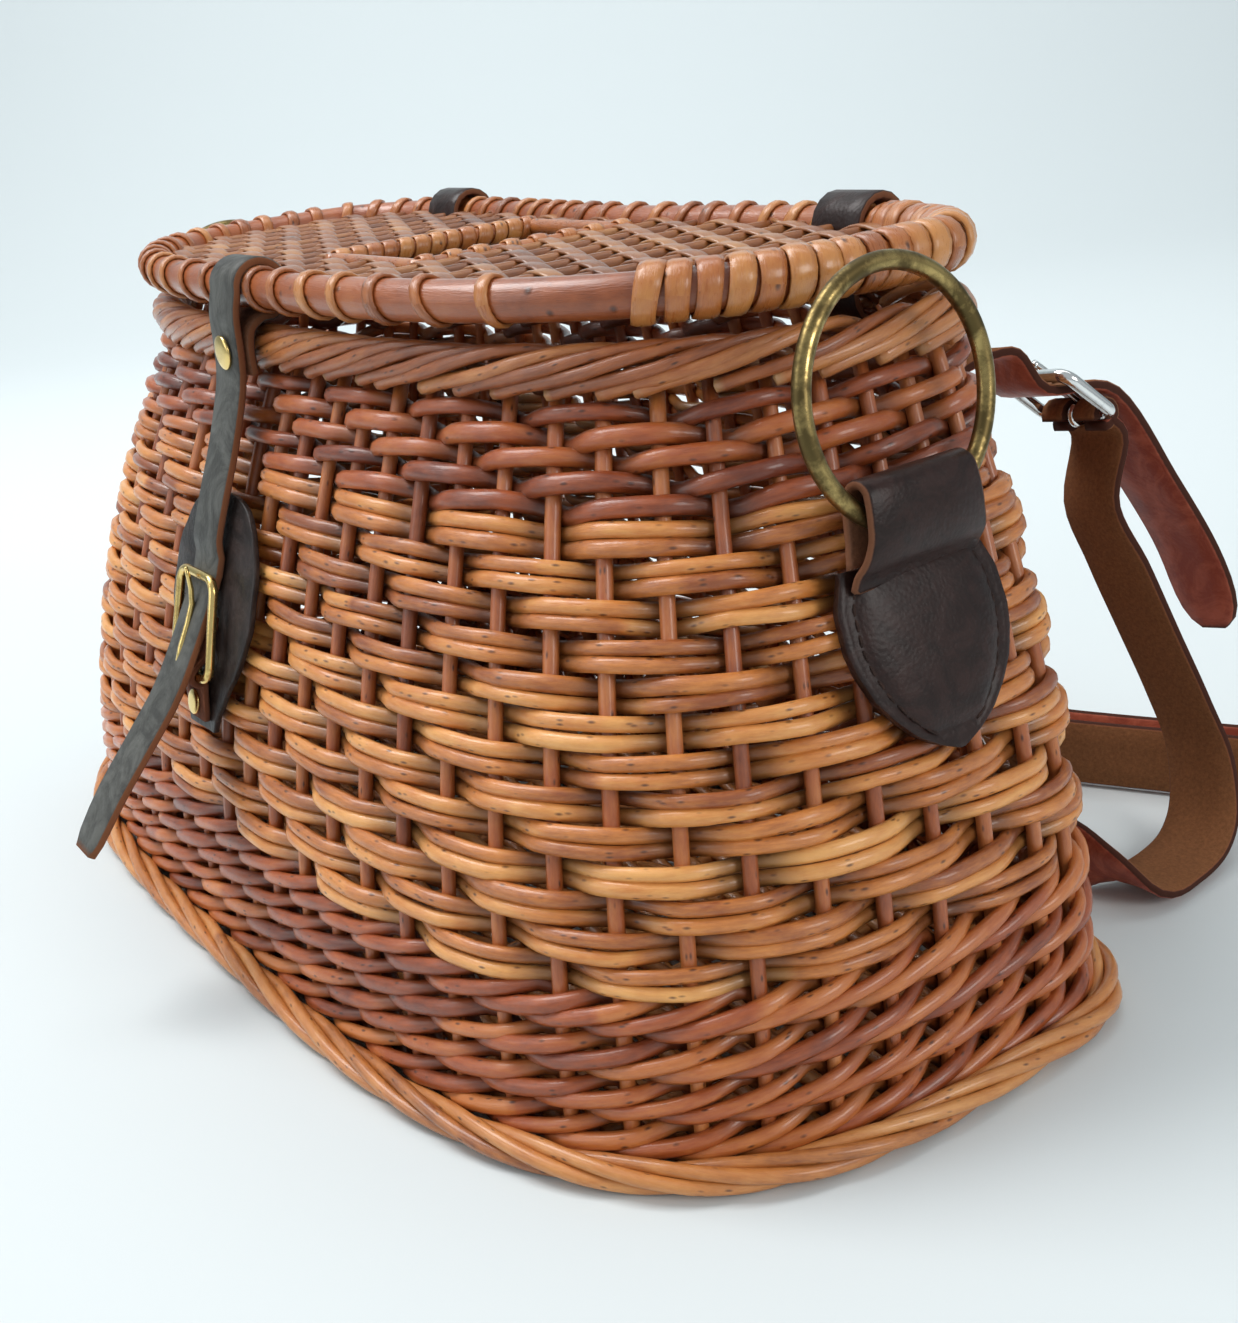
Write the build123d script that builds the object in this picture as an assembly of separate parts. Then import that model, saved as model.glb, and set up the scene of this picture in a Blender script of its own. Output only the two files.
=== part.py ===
"""Wicker fishing creel: a woven basket with a hinged lid, a latch strap, two carrying rings and a shoulder strap.

All sizes are in millimetres. +Z is up, -Y is the front where the latch is, +X is the end nearest the viewer.
The basket stands on Z = 0. The weave itself is left out: each woven wall is a closed shell of the true shape.
"""
from build123d import *
import math
import os

os.makedirs("parts", exist_ok=True)

# ---------------------------------------------------------------- sizes of the woven body
base_half_length = 201.0
base_front_depth = 134.0
base_back_depth = 58.0
base_front_power = 3.4
base_back_power = 3.0
base_hollow = 6.0
top_half_length = 158.0
top_front_depth = 88.0
top_back_depth = 48.0
top_front_power = 2.6
top_back_power = 3.2
top_hollow = 11.0
wall_height = 168.0
shoulder_power = 1.9
wall_thickness = 7.0
lower_wale_top = 46.0
upper_wale_bottom = 146.0
wall_foot_height = 1.0
base_thickness = 8.0
foot_border_radius = 4.5
top_border_radius = 6.0
outline_point_count = 48
rod_sides = 8
ring_steps = 36
rivet_sides = 16

# ---------------------------------------------------------------- clearances
snug_gap = 0.15
weave_gap = 0.7
fit_gap = 0.35
loop_gap = 1.2
table_gap = 0.4

# ---------------------------------------------------------------- sizes of the lid
lid_half_length = 157.0
lid_front_depth = 92.0
lid_back_depth = 52.0
lid_front_power = 2.6
lid_back_power = 3.3
lid_hollow = 12.0
lid_rim_radius = 5.5
lid_panel_thickness = 5.0
slot_length = 62.0
slot_width = 42.0
slot_centre_y = -14.0
slot_rod = 7.0
hinge_x = 100.0

# ---------------------------------------------------------------- sizes of the leather and metal parts
leather = 2.2
hinge_loop_width = 18.0
hinge_loop_leather = 2.0
latch_width = 16.0
latch_leather = 2.4
latch_rivet_radius = 4.5
patch_half_width = 27.0
patch_top = 137.0
patch_bottom = 74.0
tab_width = 13.0
tab_leather = 1.8
latch_bar_z = 91.0
latch_top_bar_z = 118.0
latch_wire_radius = 1.3
latch_frame_half_width = 12.5
wire_bend = 3.0
ring_major_radius = 27.0
ring_wire_radius = 2.1
fold_half_width = 16.0
stitch_z = 130.0
end_patch_bottom = 88.0
end_patch_half_width = 23.0
end_patch_y = -20.0
ring_lean = 10.0
strap_width = 22.0
strap_leather = 2.8
shoulder_wire_radius = 1.8
shoulder_half_length = 10.0
shoulder_half_width = 14.0
keeper_x = 112.0

# ---------------------------------------------------------------- heights that follow from them
border_z = wall_height + top_border_radius
border_inset = wall_thickness / 2
lid_z = border_z + top_border_radius + latch_leather + 3 * fit_gap + lid_rim_radius


def even_points(half_length, front, back, front_power, back_power, hollow):
    """Evenly spaced points round a basket outline, from the middle of the front, turning towards +X."""
    dense = []
    dense_count = 720
    for step in range(dense_count):
        angle = 2 * math.pi * step / dense_count
        side, ahead = math.sin(angle), -math.cos(angle)
        power = front_power if ahead < 0 else back_power
        x = half_length * math.copysign(abs(side) ** (2 / power), side)
        depth = front if ahead < 0 else back - hollow * math.exp(-(2 * x / half_length) ** 2)
        dense.append((x, depth * math.copysign(abs(ahead) ** (2 / power), ahead)))
    lengths = [0.0]
    for step in range(dense_count):
        here, after = dense[step], dense[(step + 1) % dense_count]
        lengths.append(lengths[-1] + math.dist(here, after))
    points = []
    step = 0
    for number in range(outline_point_count):
        wanted = lengths[-1] * number / outline_point_count
        while lengths[step + 1] < wanted:
            step += 1
        share = (wanted - lengths[step]) / (lengths[step + 1] - lengths[step])
        here, after = dense[step], dense[(step + 1) % dense_count]
        points.append((here[0] + share * (after[0] - here[0]), here[1] + share * (after[1] - here[1])))
    return points


def wall_sizes(z, grow=0.0):
    """The six outline numbers of the wall's outer face at height z, moved out by grow."""
    share = (max(z, 0.0) / wall_height) ** shoulder_power
    base = (base_half_length, base_front_depth, base_back_depth, base_front_power, base_back_power, base_hollow)
    top = (top_half_length, top_front_depth, top_back_depth, top_front_power, top_back_power, top_hollow)
    sizes = [low + (high - low) * share for low, high in zip(base, top)]
    return [size + grow for size in sizes[:3]] + sizes[3:]


def wall_front(z):
    """How far the middle of the front wall stands out at height z."""
    return wall_sizes(z)[1]


def wall_end(z):
    """How far the end wall stands out at height z."""
    return wall_sizes(z)[0]


def outline_wire(sizes, z):
    """A closed wire of short straight runs through an outline at height z."""
    return Wire.make_polygon([Vector(x, y, z) for x, y in even_points(*sizes)], close=True)


def filled(heights, grow):
    """A solid with the wall's outer shape, moved out by grow, lofted through the given heights."""
    return Solid.make_loft([outline_wire(wall_sizes(z, grow), z) for z in heights], ruled=True)


def wall_band(heights, outer, inner):
    """One closed band of the wall between an outer and an inner face."""
    reach = 1.0
    inner_heights = [heights[0] - reach] + list(heights) + [heights[-1] + reach]
    return filled(heights, outer) - filled(inner_heights, inner)


def rod_round(sizes, z, radius):
    """A closed round rod that follows an outline at height z, lofted as two halves that meet end to end."""
    points = [Vector(x, y, z) for x, y in even_points(*sizes)]
    return closed_rod(points, (0, 0, 1), radius)


def closed_rod(points, side_way, radius):
    """A closed rod through points that lie in one plane, with side_way square to that plane."""
    count = len(points)
    sections = []
    for number, here in enumerate(points):
        along = points[(number + 1) % count] - points[number - 1]
        plane = Plane(origin=here, x_dir=side_way, z_dir=along)
        corners = [(radius * math.cos(turn), radius * math.sin(turn)) for turn in even_turns(rod_sides)]
        sections.append(Wire.make_polygon([plane.from_local_coords(corner) for corner in corners], close=True))
    half = count // 2
    first = Solid.make_loft(sections[:half + 1], ruled=True)
    second = Solid.make_loft(sections[half:] + sections[:1], ruled=True)
    return first + second


def even_turns(count):
    """Angles in radians, evenly spaced round a circle and starting half a step in."""
    return [2 * math.pi * (number + 0.5) / count for number in range(count)]


def smooth_points(points, steps):
    """Points along a smooth curve through the given points (two or three numbers each)."""
    result = []
    count = len(points)
    for number in range(count - 1):
        p0, p1 = points[max(number - 1, 0)], points[number]
        p2, p3 = points[number + 1], points[min(number + 2, count - 1)]
        for step in range(steps):
            t = step / steps
            result.append(tuple(
                0.5 * (2 * b + (c - a) * t + (2 * a - 5 * b + 4 * c - d) * t ** 2 + (3 * b - a - 3 * c + d) * t ** 3)
                for a, b, c, d in zip(p0, p1, p2, p3)))
    result.append(tuple(points[-1]))
    return result


def side_strip(points, thickness, width, x_centre=0.0):
    """A strip seen edge-on from the side: its middle line runs through (y, z) points."""
    line = [Vector(0, y, z) for y, z in points]
    left, right = [], []
    for number, here in enumerate(line):
        along = (line[min(number + 1, len(line) - 1)] - line[max(number - 1, 0)]).normalized()
        across = Vector(0, -along.Z, along.Y) * (thickness / 2)
        left.append(here + across)
        right.append(here - across)
    face = Face(Wire.make_polygon(left + list(reversed(right)), close=True))
    return Pos(x_centre - width / 2, 0, 0) * extrude(face, width, dir=(1, 0, 0))


def ribbon(points, widths, width, thickness, steps=3):
    """A flat strap through 3-D points; widths gives the direction of its width at each point.

    Where it lies on the table it is kept just above Z = 0.
    """
    path = [Vector(*point) for point in smooth_points(points, steps)]
    across = [Vector(*direction) for direction in smooth_points(widths, steps)]
    sections = []
    for number, here in enumerate(path):
        along = (path[min(number + 1, len(path) - 1)] - path[max(number - 1, 0)]).normalized()
        wide = (across[number] - along * across[number].dot(along)).normalized() * (width / 2)
        thick = along.cross(wide).normalized() * (thickness / 2)
        corners = [here + wide + thick, here - wide + thick, here - wide - thick, here + wide - thick]
        rise = Vector(0, 0, max(0.0, table_gap - min(corner.Z for corner in corners)))
        sections.append([corner + rise for corner in corners])
    return faceted(sections)


def faceted(sections):
    """A solid skinned with flat triangles through four-cornered sections, and closed at both ends."""
    faces = [flat_face(reversed(sections[0])), flat_face(sections[-1])]
    for here, after in zip(sections, sections[1:]):
        for side in range(4):
            turn = (side + 1) % 4
            faces.append(flat_face([here[side], here[turn], after[turn]]))
            faces.append(flat_face([here[side], after[turn], after[side]]))
    return Solid(Shell(faces))


def flat_face(corners):
    """A flat face between corner points."""
    return Face(Wire.make_polygon(list(corners), close=True))


def side_prism(outline, x_start, depth):
    """A prism along +X whose outline is given as (y, z) points."""
    wire = Wire.make_polygon([Vector(x_start, y, z) for y, z in outline], close=True)
    return extrude(Face(wire), depth, dir=(1, 0, 0))


def front_prism(outline, y_start, depth):
    """A prism along -Y whose outline is given as (x, z) points."""
    wire = Wire.make_polygon([Vector(x, y_start, z) for x, z in outline], close=True)
    return extrude(Face(wire), depth, dir=(0, -1, 0))


def rivet_head(radius, height):
    """A flat many-sided rivet head that faces along Z."""
    return Pos(0, 0, -height / 2) * extrude(RegularPolygon(radius, rivet_sides), height)


def cylinder_along(start, end, radius):
    """A round rod between two points."""
    direction = Vector(*end) - Vector(*start)
    return Solid.make_cylinder(radius, direction.length, Plane(origin=start, z_dir=direction))


# ---------------------------------------------------------------- the woven body

def bent_loop(corners, bend, radius):
    """A closed loop of wire through corner points, with each corner bent to a radius."""
    points = []
    count = len(corners)
    for number in range(count):
        before, corner, after = [Vector(*corners[(number + step) % count]) for step in (-1, 0, 1)]
        start = corner + (before - corner).normalized() * bend
        end = corner + (after - corner).normalized() * bend
        for t in (0.0, 0.33, 0.67, 1.0):
            points.append(start * (1 - t) ** 2 + corner * (2 * t * (1 - t)) + end * t ** 2)
    normal = (points[0] - points[4]).cross(points[4] - points[8]).normalized()
    return closed_rod(points, normal, radius)


def levels(low, high, count):
    return [low + (high - low) * number / (count - 1) for number in range(count)]


def make_base_panel():
    """The flat woven bottom, set inside the foot of the wall. Its underside is the standing face."""
    return filled([0.0, base_thickness], -wall_thickness - fit_gap)


def make_hinge_notches():
    """The two gaps under the top border that the hinge loops pass through."""
    notch_height = hinge_loop_leather + 5 * fit_gap
    notch = Box(hinge_loop_width + 2 * fit_gap, 40, 2 * notch_height)
    notch = Pos(0, top_back_depth, wall_height) * notch
    return [Pos(side * hinge_x, 0, 0) * notch for side in (1, -1)]


def make_upper_wale():
    band = wall_band(levels(upper_wale_bottom, wall_height, 3), 0.0, -wall_thickness)
    for notch in make_hinge_notches():
        band -= notch
    return band


def make_top_border():
    return rod_round(wall_sizes(wall_height, -border_inset), border_z, top_border_radius)


def make_foot_border():
    reach = foot_border_radius + fit_gap
    return rod_round(wall_sizes(foot_border_radius, reach), foot_border_radius, foot_border_radius)


# ---------------------------------------------------------------- the lid

def lid_sizes(grow):
    """The lid's outline numbers, with the rim's outer edge moved by grow."""
    sizes = [lid_half_length, lid_front_depth, lid_back_depth]
    return [size + grow for size in sizes] + [lid_front_power, lid_back_power, lid_hollow]


def depth_at(sizes, x_wanted):
    """The depth of the back of an outline at a given x."""
    points = [point for point in even_points(*sizes) if point[1] > 0]
    points.sort()
    for here, after in zip(points, points[1:]):
        if here[0] <= x_wanted <= after[0]:
            share = (x_wanted - here[0]) / (after[0] - here[0])
            return here[1] + share * (after[1] - here[1])
    return points[-1][1]


hinge_y = depth_at(lid_sizes(-lid_rim_radius), hinge_x)
border_hinge_y = depth_at(wall_sizes(wall_height, -border_inset), hinge_x)


def make_lid_rim():
    return rod_round(lid_sizes(-lid_rim_radius), lid_z, lid_rim_radius)


def make_lid_panel():
    """The woven plate inside the rim, open for the slot frame, the two hinge loops and the latch strap."""
    low = lid_z - lid_panel_thickness / 2
    sizes = lid_sizes(-2 * lid_rim_radius - weave_gap)
    wires = [outline_wire(sizes, z) for z in (low, low + lid_panel_thickness)]
    opening = Box(slot_width + 2 * (slot_rod + snug_gap), slot_length + 2 * (slot_rod + snug_gap), 20)
    panel = Solid.make_loft(wires, ruled=True) - Pos(0, slot_centre_y, lid_z) * opening
    loop_reach = lid_rim_radius + loop_gap + hinge_loop_leather + 2 * weave_gap
    loop_notch = Box(hinge_loop_width + 2 * weave_gap, 2 * loop_reach, 20)
    for side in (1, -1):
        panel -= Pos(side * hinge_x, hinge_y, lid_z) * loop_notch
    strap_reach = lid_rim_radius + latch_leather + fit_gap + 2 * weave_gap
    strap_notch = Box(latch_width + 2 * weave_gap, 2 * strap_reach, 20)
    return panel - Pos(0, lid_rim_radius - lid_front_depth, lid_z) * strap_notch


def make_slot_frame():
    """The bound frame round the fish slot."""
    outer = Box(slot_width + 2 * slot_rod, slot_length + 2 * slot_rod, slot_rod)
    outer = fillet(outer.edges().filter_by(Axis.X) + outer.edges().filter_by(Axis.Y), slot_rod * 0.4)
    inner = Box(slot_width, slot_length, 3 * slot_rod)
    return Pos(0, slot_centre_y, lid_z) * (outer - inner)


def make_hinge_loop(side):
    """A leather loop round the back of the lid rim and the top border."""
    lid_gap = lid_rim_radius + loop_gap
    border_gap = top_border_radius + 3 * fit_gap

    def hull(extra):
        shapes = [(hinge_y, lid_z, lid_gap + extra), (border_hinge_y, border_z, border_gap + extra)]
        with BuildSketch(Plane.YZ) as sketch:
            for y, z, radius in shapes:
                with Locations((y, z)):
                    Circle(radius)
            make_hull()
        return sketch.sketch

    ring = hull(hinge_loop_leather) - hull(0.0)
    band = extrude(ring, hinge_loop_width / 2, both=True)
    return Pos(side * hinge_x, 0, 0) * band


# ---------------------------------------------------------------- the front latch

def patch_face(z):
    """How far the front patch's outer face stands out at height z."""
    return wall_front(z) + fit_gap + leather


bar_out = patch_face(latch_bar_z) + tab_leather + latch_wire_radius + 2 * fit_gap + 0.4
top_bar_out = patch_face(latch_top_bar_z) + latch_leather + latch_wire_radius + 4 * fit_gap


rim_y = lid_rim_radius - lid_front_depth
latch_join_z = lid_z - 15.0
border_face = top_front_depth - border_inset + top_border_radius
latch_outer_y = -(border_face + 2 * fit_gap + 1.5 * latch_leather + 2 * fit_gap)
strap_behind_top = top_bar_out - latch_wire_radius - 2 * fit_gap - latch_leather / 2
strap_before_bar = bar_out + latch_wire_radius + tab_leather + 3 * fit_gap + latch_leather / 2


def wall_lean(z):
    """The lean of the front wall at height z, in degrees."""
    return math.degrees(math.atan2(wall_front(z - 2) - wall_front(z + 2), 4))


def prong_ends():
    """The two ends of the latch prong's arm: (y, z) each."""
    start = (-bar_out - latch_wire_radius - 1.0, latch_bar_z + 1.6)
    return start, (-top_bar_out - latch_wire_radius - 1.0 - fit_gap, latch_top_bar_z + 2.5)


def make_front_patch():
    """The leather patch on the front: rounded at the top, drawn in to a narrow foot, with a slit for the tab."""
    height = patch_top - patch_bottom
    shares = [(0.0, 1.0), (0.55, 0.97), (0.92, 0.84), (1.0, 0.62), (0.9, 0.4), (0.52, 0.16), (0.3, 0.0)]
    right = smooth_points([(patch_half_width * a, patch_bottom + height * b) for a, b in shares], 3)
    outline = right + [(-x, z) for x, z in reversed(right[1:])]
    skin = wall_band(levels(patch_bottom - 4, patch_top + 4, 4), fit_gap + leather, fit_gap)
    slit = Pos(0, -wall_front(latch_bar_z + 13), latch_bar_z + 13) * Box(tab_width + 1.5, 30, 3.2)
    return skin & front_prism(outline, -40.0, 140.0) - slit


def make_buckle_tab():
    """The folded tab that comes out of the slit, wraps the buckle's bar and is riveted below it."""
    low, high = latch_bar_z - 12, latch_bar_z + 12.0
    out = snug_gap + tab_leather / 2 + 0.1
    line = [(-patch_face(z) - out, z) for z in levels(low, high, 5)]
    strip = side_strip(line, tab_leather, tab_width)
    wrap = Pos(0, -bar_out, latch_bar_z) * (Rot(0, 90, 0) * Cylinder(latch_wire_radius + fit_gap / 2 + tab_leather, tab_width))
    hole = Pos(0, -bar_out, latch_bar_z) * (Rot(0, 90, 0) * Cylinder(latch_wire_radius + fit_gap / 2, tab_width + 2))
    gap = Pos(0, -bar_out, latch_bar_z) * Box(3.4, 14, 12)
    near_wall = Pos(0, -bar_out - 10, latch_bar_z) * Box(tab_width + 2, 20 + 2 * 30, 40)
    patch_side = -patch_face(latch_bar_z)
    keep = side_prism([(patch_side - 20, low), (-patch_face(low) - snug_gap, low),
                       (-patch_face(high) - snug_gap, high), (patch_side - 20, high)], -tab_width, 2 * tab_width)
    return strip + (wrap & keep & near_wall) - hole - gap


def make_tab_rivet():
    """A brass rivet head that closes the foot of the tab."""
    z = latch_bar_z - 8.5
    out = patch_face(z) + (tab_leather + 3 * snug_gap + 0.8) / math.cos(math.radians(wall_lean(z)))
    return Pos(0, -out, z) * (Rot(90 - wall_lean(z), 0, 0) * rivet_head(3.0, 0.7))


def make_latch_frame():
    """The wire loop of the latch buckle."""
    half = latch_frame_half_width
    corners = [(half, -bar_out, latch_bar_z), (half, -top_bar_out, latch_top_bar_z),
               (-half, -top_bar_out, latch_top_bar_z), (-half, -bar_out, latch_bar_z)]
    return bent_loop(corners, wire_bend, latch_wire_radius)


def make_latch_prong():
    """The pin of the latch buckle: an eye on the bar and an arm that rests on the top bar."""
    eye = Cylinder(latch_wire_radius + 1.5, 2.4) - Cylinder(latch_wire_radius + fit_gap / 2, 4)
    eye = Pos(0, -bar_out, latch_bar_z) * (Rot(0, 90, 0) * eye)
    radius = 1.0
    start, tip = [Vector(0, y, z) for y, z in prong_ends()]
    hole = Pos(0, -bar_out, latch_bar_z) * (Rot(0, 90, 0) * Cylinder(latch_wire_radius + fit_gap / 2, 4))
    return eye + cylinder_along(start, tip, radius) - hole


def latch_crossing():
    """Where the prong passes through the strap: (y, z)."""
    strap_run = (strap_before_bar - strap_behind_top) / (latch_top_bar_z - latch_bar_z)
    prong_start, prong_tip = prong_ends()
    prong_run = (prong_tip[0] - prong_start[0]) / (prong_tip[1] - prong_start[1])
    gap = strap_before_bar + prong_start[0] - strap_run * (prong_start[1] - latch_bar_z)
    z = prong_start[1] + gap / (strap_run - prong_run)
    return prong_start[0] + prong_run * (z - prong_start[1]), z


def make_latch_strap():
    """The strap that hangs from the lid's front rim, runs through the buckle and ends in a loose tail."""
    rim_gap = lid_rim_radius + fit_gap + latch_leather / 2
    inner_y = latch_outer_y + latch_leather + fit_gap
    inner = [(inner_y, latch_join_z - 6), (inner_y, latch_join_z), (rim_y - 4.9, lid_z - 9.6)]
    turn = [(rim_y + rim_gap * math.cos(math.radians(a)), lid_z + rim_gap * math.sin(math.radians(a)))
            for a in (-100, -74, -48, -22, 4, 30, 56, 82, 108, 134, 158, 180)]
    run = [(latch_outer_y + 0.3, lid_z - 6), (latch_outer_y - 0.3, latch_join_z), (latch_outer_y - 1.8, latch_join_z - 9)]
    for z in (150.0, 138.0, 127.0):
        run.append((-wall_front(z) - 6.0, z))
    run.append((-strap_behind_top, latch_top_bar_z))
    run.append((-strap_before_bar, latch_bar_z))
    for out, down in ((12, 14), (25, 28), (36, 42)):
        run.append((-strap_before_bar - out, latch_bar_z - down))
    line = smooth_points(inner + turn + run, 2)
    strap = side_strip(line, latch_leather, latch_width)
    y, z = latch_crossing()
    return strap - Pos(0, y, z) * Box(3.6, 30, 14)


def make_latch_rivet():
    """The brass rivet head on the strap just below the rim."""
    head = Rot(90, 0, 0) * rivet_head(latch_rivet_radius, 1.2)
    return Pos(0, latch_outer_y - latch_leather / 2 - 2 * snug_gap - 1.25, latch_join_z) * head


# ---------------------------------------------------------------- the end patches and rings

stitch_x = wall_end(stitch_z) + 3 * fit_gap + 2 * leather
ring_out = -1.0


def place_at_stitch(side, shape):
    """Move a part drawn round the stitch line (X out, Z up) to its place at one end."""
    turned = Pos(stitch_x, end_patch_y, stitch_z) * (Rot(0, -ring_lean, 0) * shape)
    return turned if side > 0 else mirror(turned, about=Plane.YZ)


def make_end_patch(side):
    """The shield-shaped double leather patch on an end wall."""
    height = stitch_z - end_patch_bottom
    shares = [(0.84, 1.0), (0.98, 0.82), (1.0, 0.62), (0.86, 0.36), (0.5, 0.13), (0.0, 0.0)]
    right = smooth_points([(end_patch_half_width * a, end_patch_bottom + height * b) for a, b in shares], 3)
    outline = right + [(-y, z) for y, z in reversed(right[:-1])]
    outline = [(y + end_patch_y, z) for y, z in outline]
    skin = wall_band(levels(end_patch_bottom - 4, stitch_z + 4, 4), fit_gap + 2 * leather, fit_gap)
    patch = skin & side_prism(outline, 100.0, 150.0)
    return patch if side > 0 else mirror(patch, about=Plane.YZ)


def make_ring_fold(side):
    """The leather fold above the stitch line that wraps the ring's lower arc."""
    wire_out = ring_out
    wrap = ring_wire_radius + 0.3 + leather
    ring_foot = 9.0
    fold_top = 16.6
    with BuildSketch(Plane.XZ) as outer:
        with BuildLine():
            Polyline((-3.9, 1.4), (0.0, 1.4), (0.0, 2.2), (-3.9, 2.2), close=True)
        make_face()
        for z in (ring_foot, fold_top):
            with Locations((wire_out, z)):
                Circle(wrap)
        make_hull()
    with BuildSketch(Plane.XZ) as inner:
        for z in (ring_foot - 1.5, fold_top):
            with Locations((wire_out, z)):
                Circle(ring_wire_radius + 0.3)
        make_hull()
    half_deep = fold_half_width + 4
    solid = extrude(outer.sketch, half_deep, both=True) - extrude(inner.sketch, half_deep + 1, both=True)
    top = fold_top + wrap + 1
    low, high = fold_half_width + 3.0, fold_half_width
    trim = [(-low, 0.0), (low, 0.0), (high, 0.7 * top), (high, top), (-high, top), (-high, 0.7 * top)]
    return place_at_stitch(side, solid & side_prism(trim, -20.0, 40.0))


def make_ring(side):
    centre_z = 9.0 + ring_major_radius
    turns = even_turns(ring_steps)
    points = [Vector(0, ring_major_radius * math.cos(turn), ring_major_radius * math.sin(turn)) for turn in turns]
    ring = closed_rod(points, (1, 0, 0), ring_wire_radius)
    return place_at_stitch(side, Pos(ring_out, 0, centre_z) * ring)


# ---------------------------------------------------------------- the shoulder strap

buckle_middle = Vector(126.5, 88.5, 138.5)
buckle_along = Vector(0.25, 0.73, -0.63).normalized()
buckle_across = (Vector(1, 0, 0) - buckle_along * buckle_along.X).normalized()
buckle_up = buckle_across.cross(buckle_along)
if buckle_up.Z < 0:
    buckle_up = -buckle_up


def at_buckle(along, up, across=0.0):
    """A point given along the strap, up from it and across it, seen from the shoulder buckle."""
    return buckle_middle + buckle_along * along + buckle_up * up + buckle_across * across


def back_wall(x, z):
    """How far the back wall stands out at x and z."""
    return depth_at(wall_sizes(z), abs(x))


def on_back(x, z, out):
    """A point out from the back wall, clear of it over the strap's whole width."""
    reach = strap_width / 2 + 1
    clear = max(back_wall(abs(x) + step * reach, z) for step in (-1, -0.5, 0, 0.5, 1))
    return (x, clear + out, z)


def place_at_buckle(shape):
    plane = Plane(origin=buckle_middle, x_dir=buckle_along, z_dir=buckle_up)
    return plane.location * shape


def make_shoulder_frame():
    """The plated wire loop of the shoulder buckle."""
    length, half = shoulder_half_length, shoulder_half_width
    corners = [(length, half, 0), (-length, half, 0), (-length, -half, 0), (length, -half, 0)]
    return place_at_buckle(bent_loop(corners, wire_bend, shoulder_wire_radius))


def make_shoulder_prong():
    """The pin of the shoulder buckle, from the lower bar to the upper one."""
    radius = 1.1
    eye = Rot(90, 0, 0) * (Cylinder(shoulder_wire_radius + 1.6, 2.6) - Cylinder(shoulder_wire_radius + fit_gap / 2, 4))
    eye = Pos(shoulder_half_length, 0, 0) * eye
    start = (shoulder_half_length - 2.0, 0, shoulder_wire_radius + 0.4)
    tip = (-shoulder_half_length - 1.5, 0, shoulder_wire_radius + radius + fit_gap)
    arm = cylinder_along(start, tip, radius)
    hole = Pos(shoulder_half_length, 0, 0) * (Rot(90, 0, 0) * Cylinder(shoulder_wire_radius + fit_gap / 2, 4))
    return place_at_buckle(eye + arm - hole)


def make_strap_billet():
    """The short strap from the back wall, over the buckle and down to its free tip."""
    lift = strap_leather / 2
    wall_out = 3 * fit_gap + leather + lift
    under = -(shoulder_wire_radius + 3 * fit_gap + lift)
    over = shoulder_wire_radius + strap_leather + 3 * fit_gap + lift
    points = [on_back(keeper_x, z, wall_out) for z in (123.0, 132.0, 141.0)]
    points += [(114.0, back_wall(keeper_x, 150) + 9.0, 151.0), (119.0, 70.0, 152.5)]
    points += [tuple(at_buckle(-shoulder_half_length, under)), tuple(at_buckle(shoulder_half_length, over))]
    points += [(135.0, 119.0, 110.3), (141.0, 133.5, 85.4), (147.0, 142.0, 60.1)]
    wide = tuple(buckle_across)
    widths = [(1, 0, 0)] * 4 + [wide] * 3 + [(1, 0, 0)] * 3
    strap = ribbon(points, widths, strap_width, strap_leather)
    hole = place_at_buckle(Pos(0.5, 0, 1.5) * Box(10, 3.8, 30))
    return strap - hole


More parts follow.
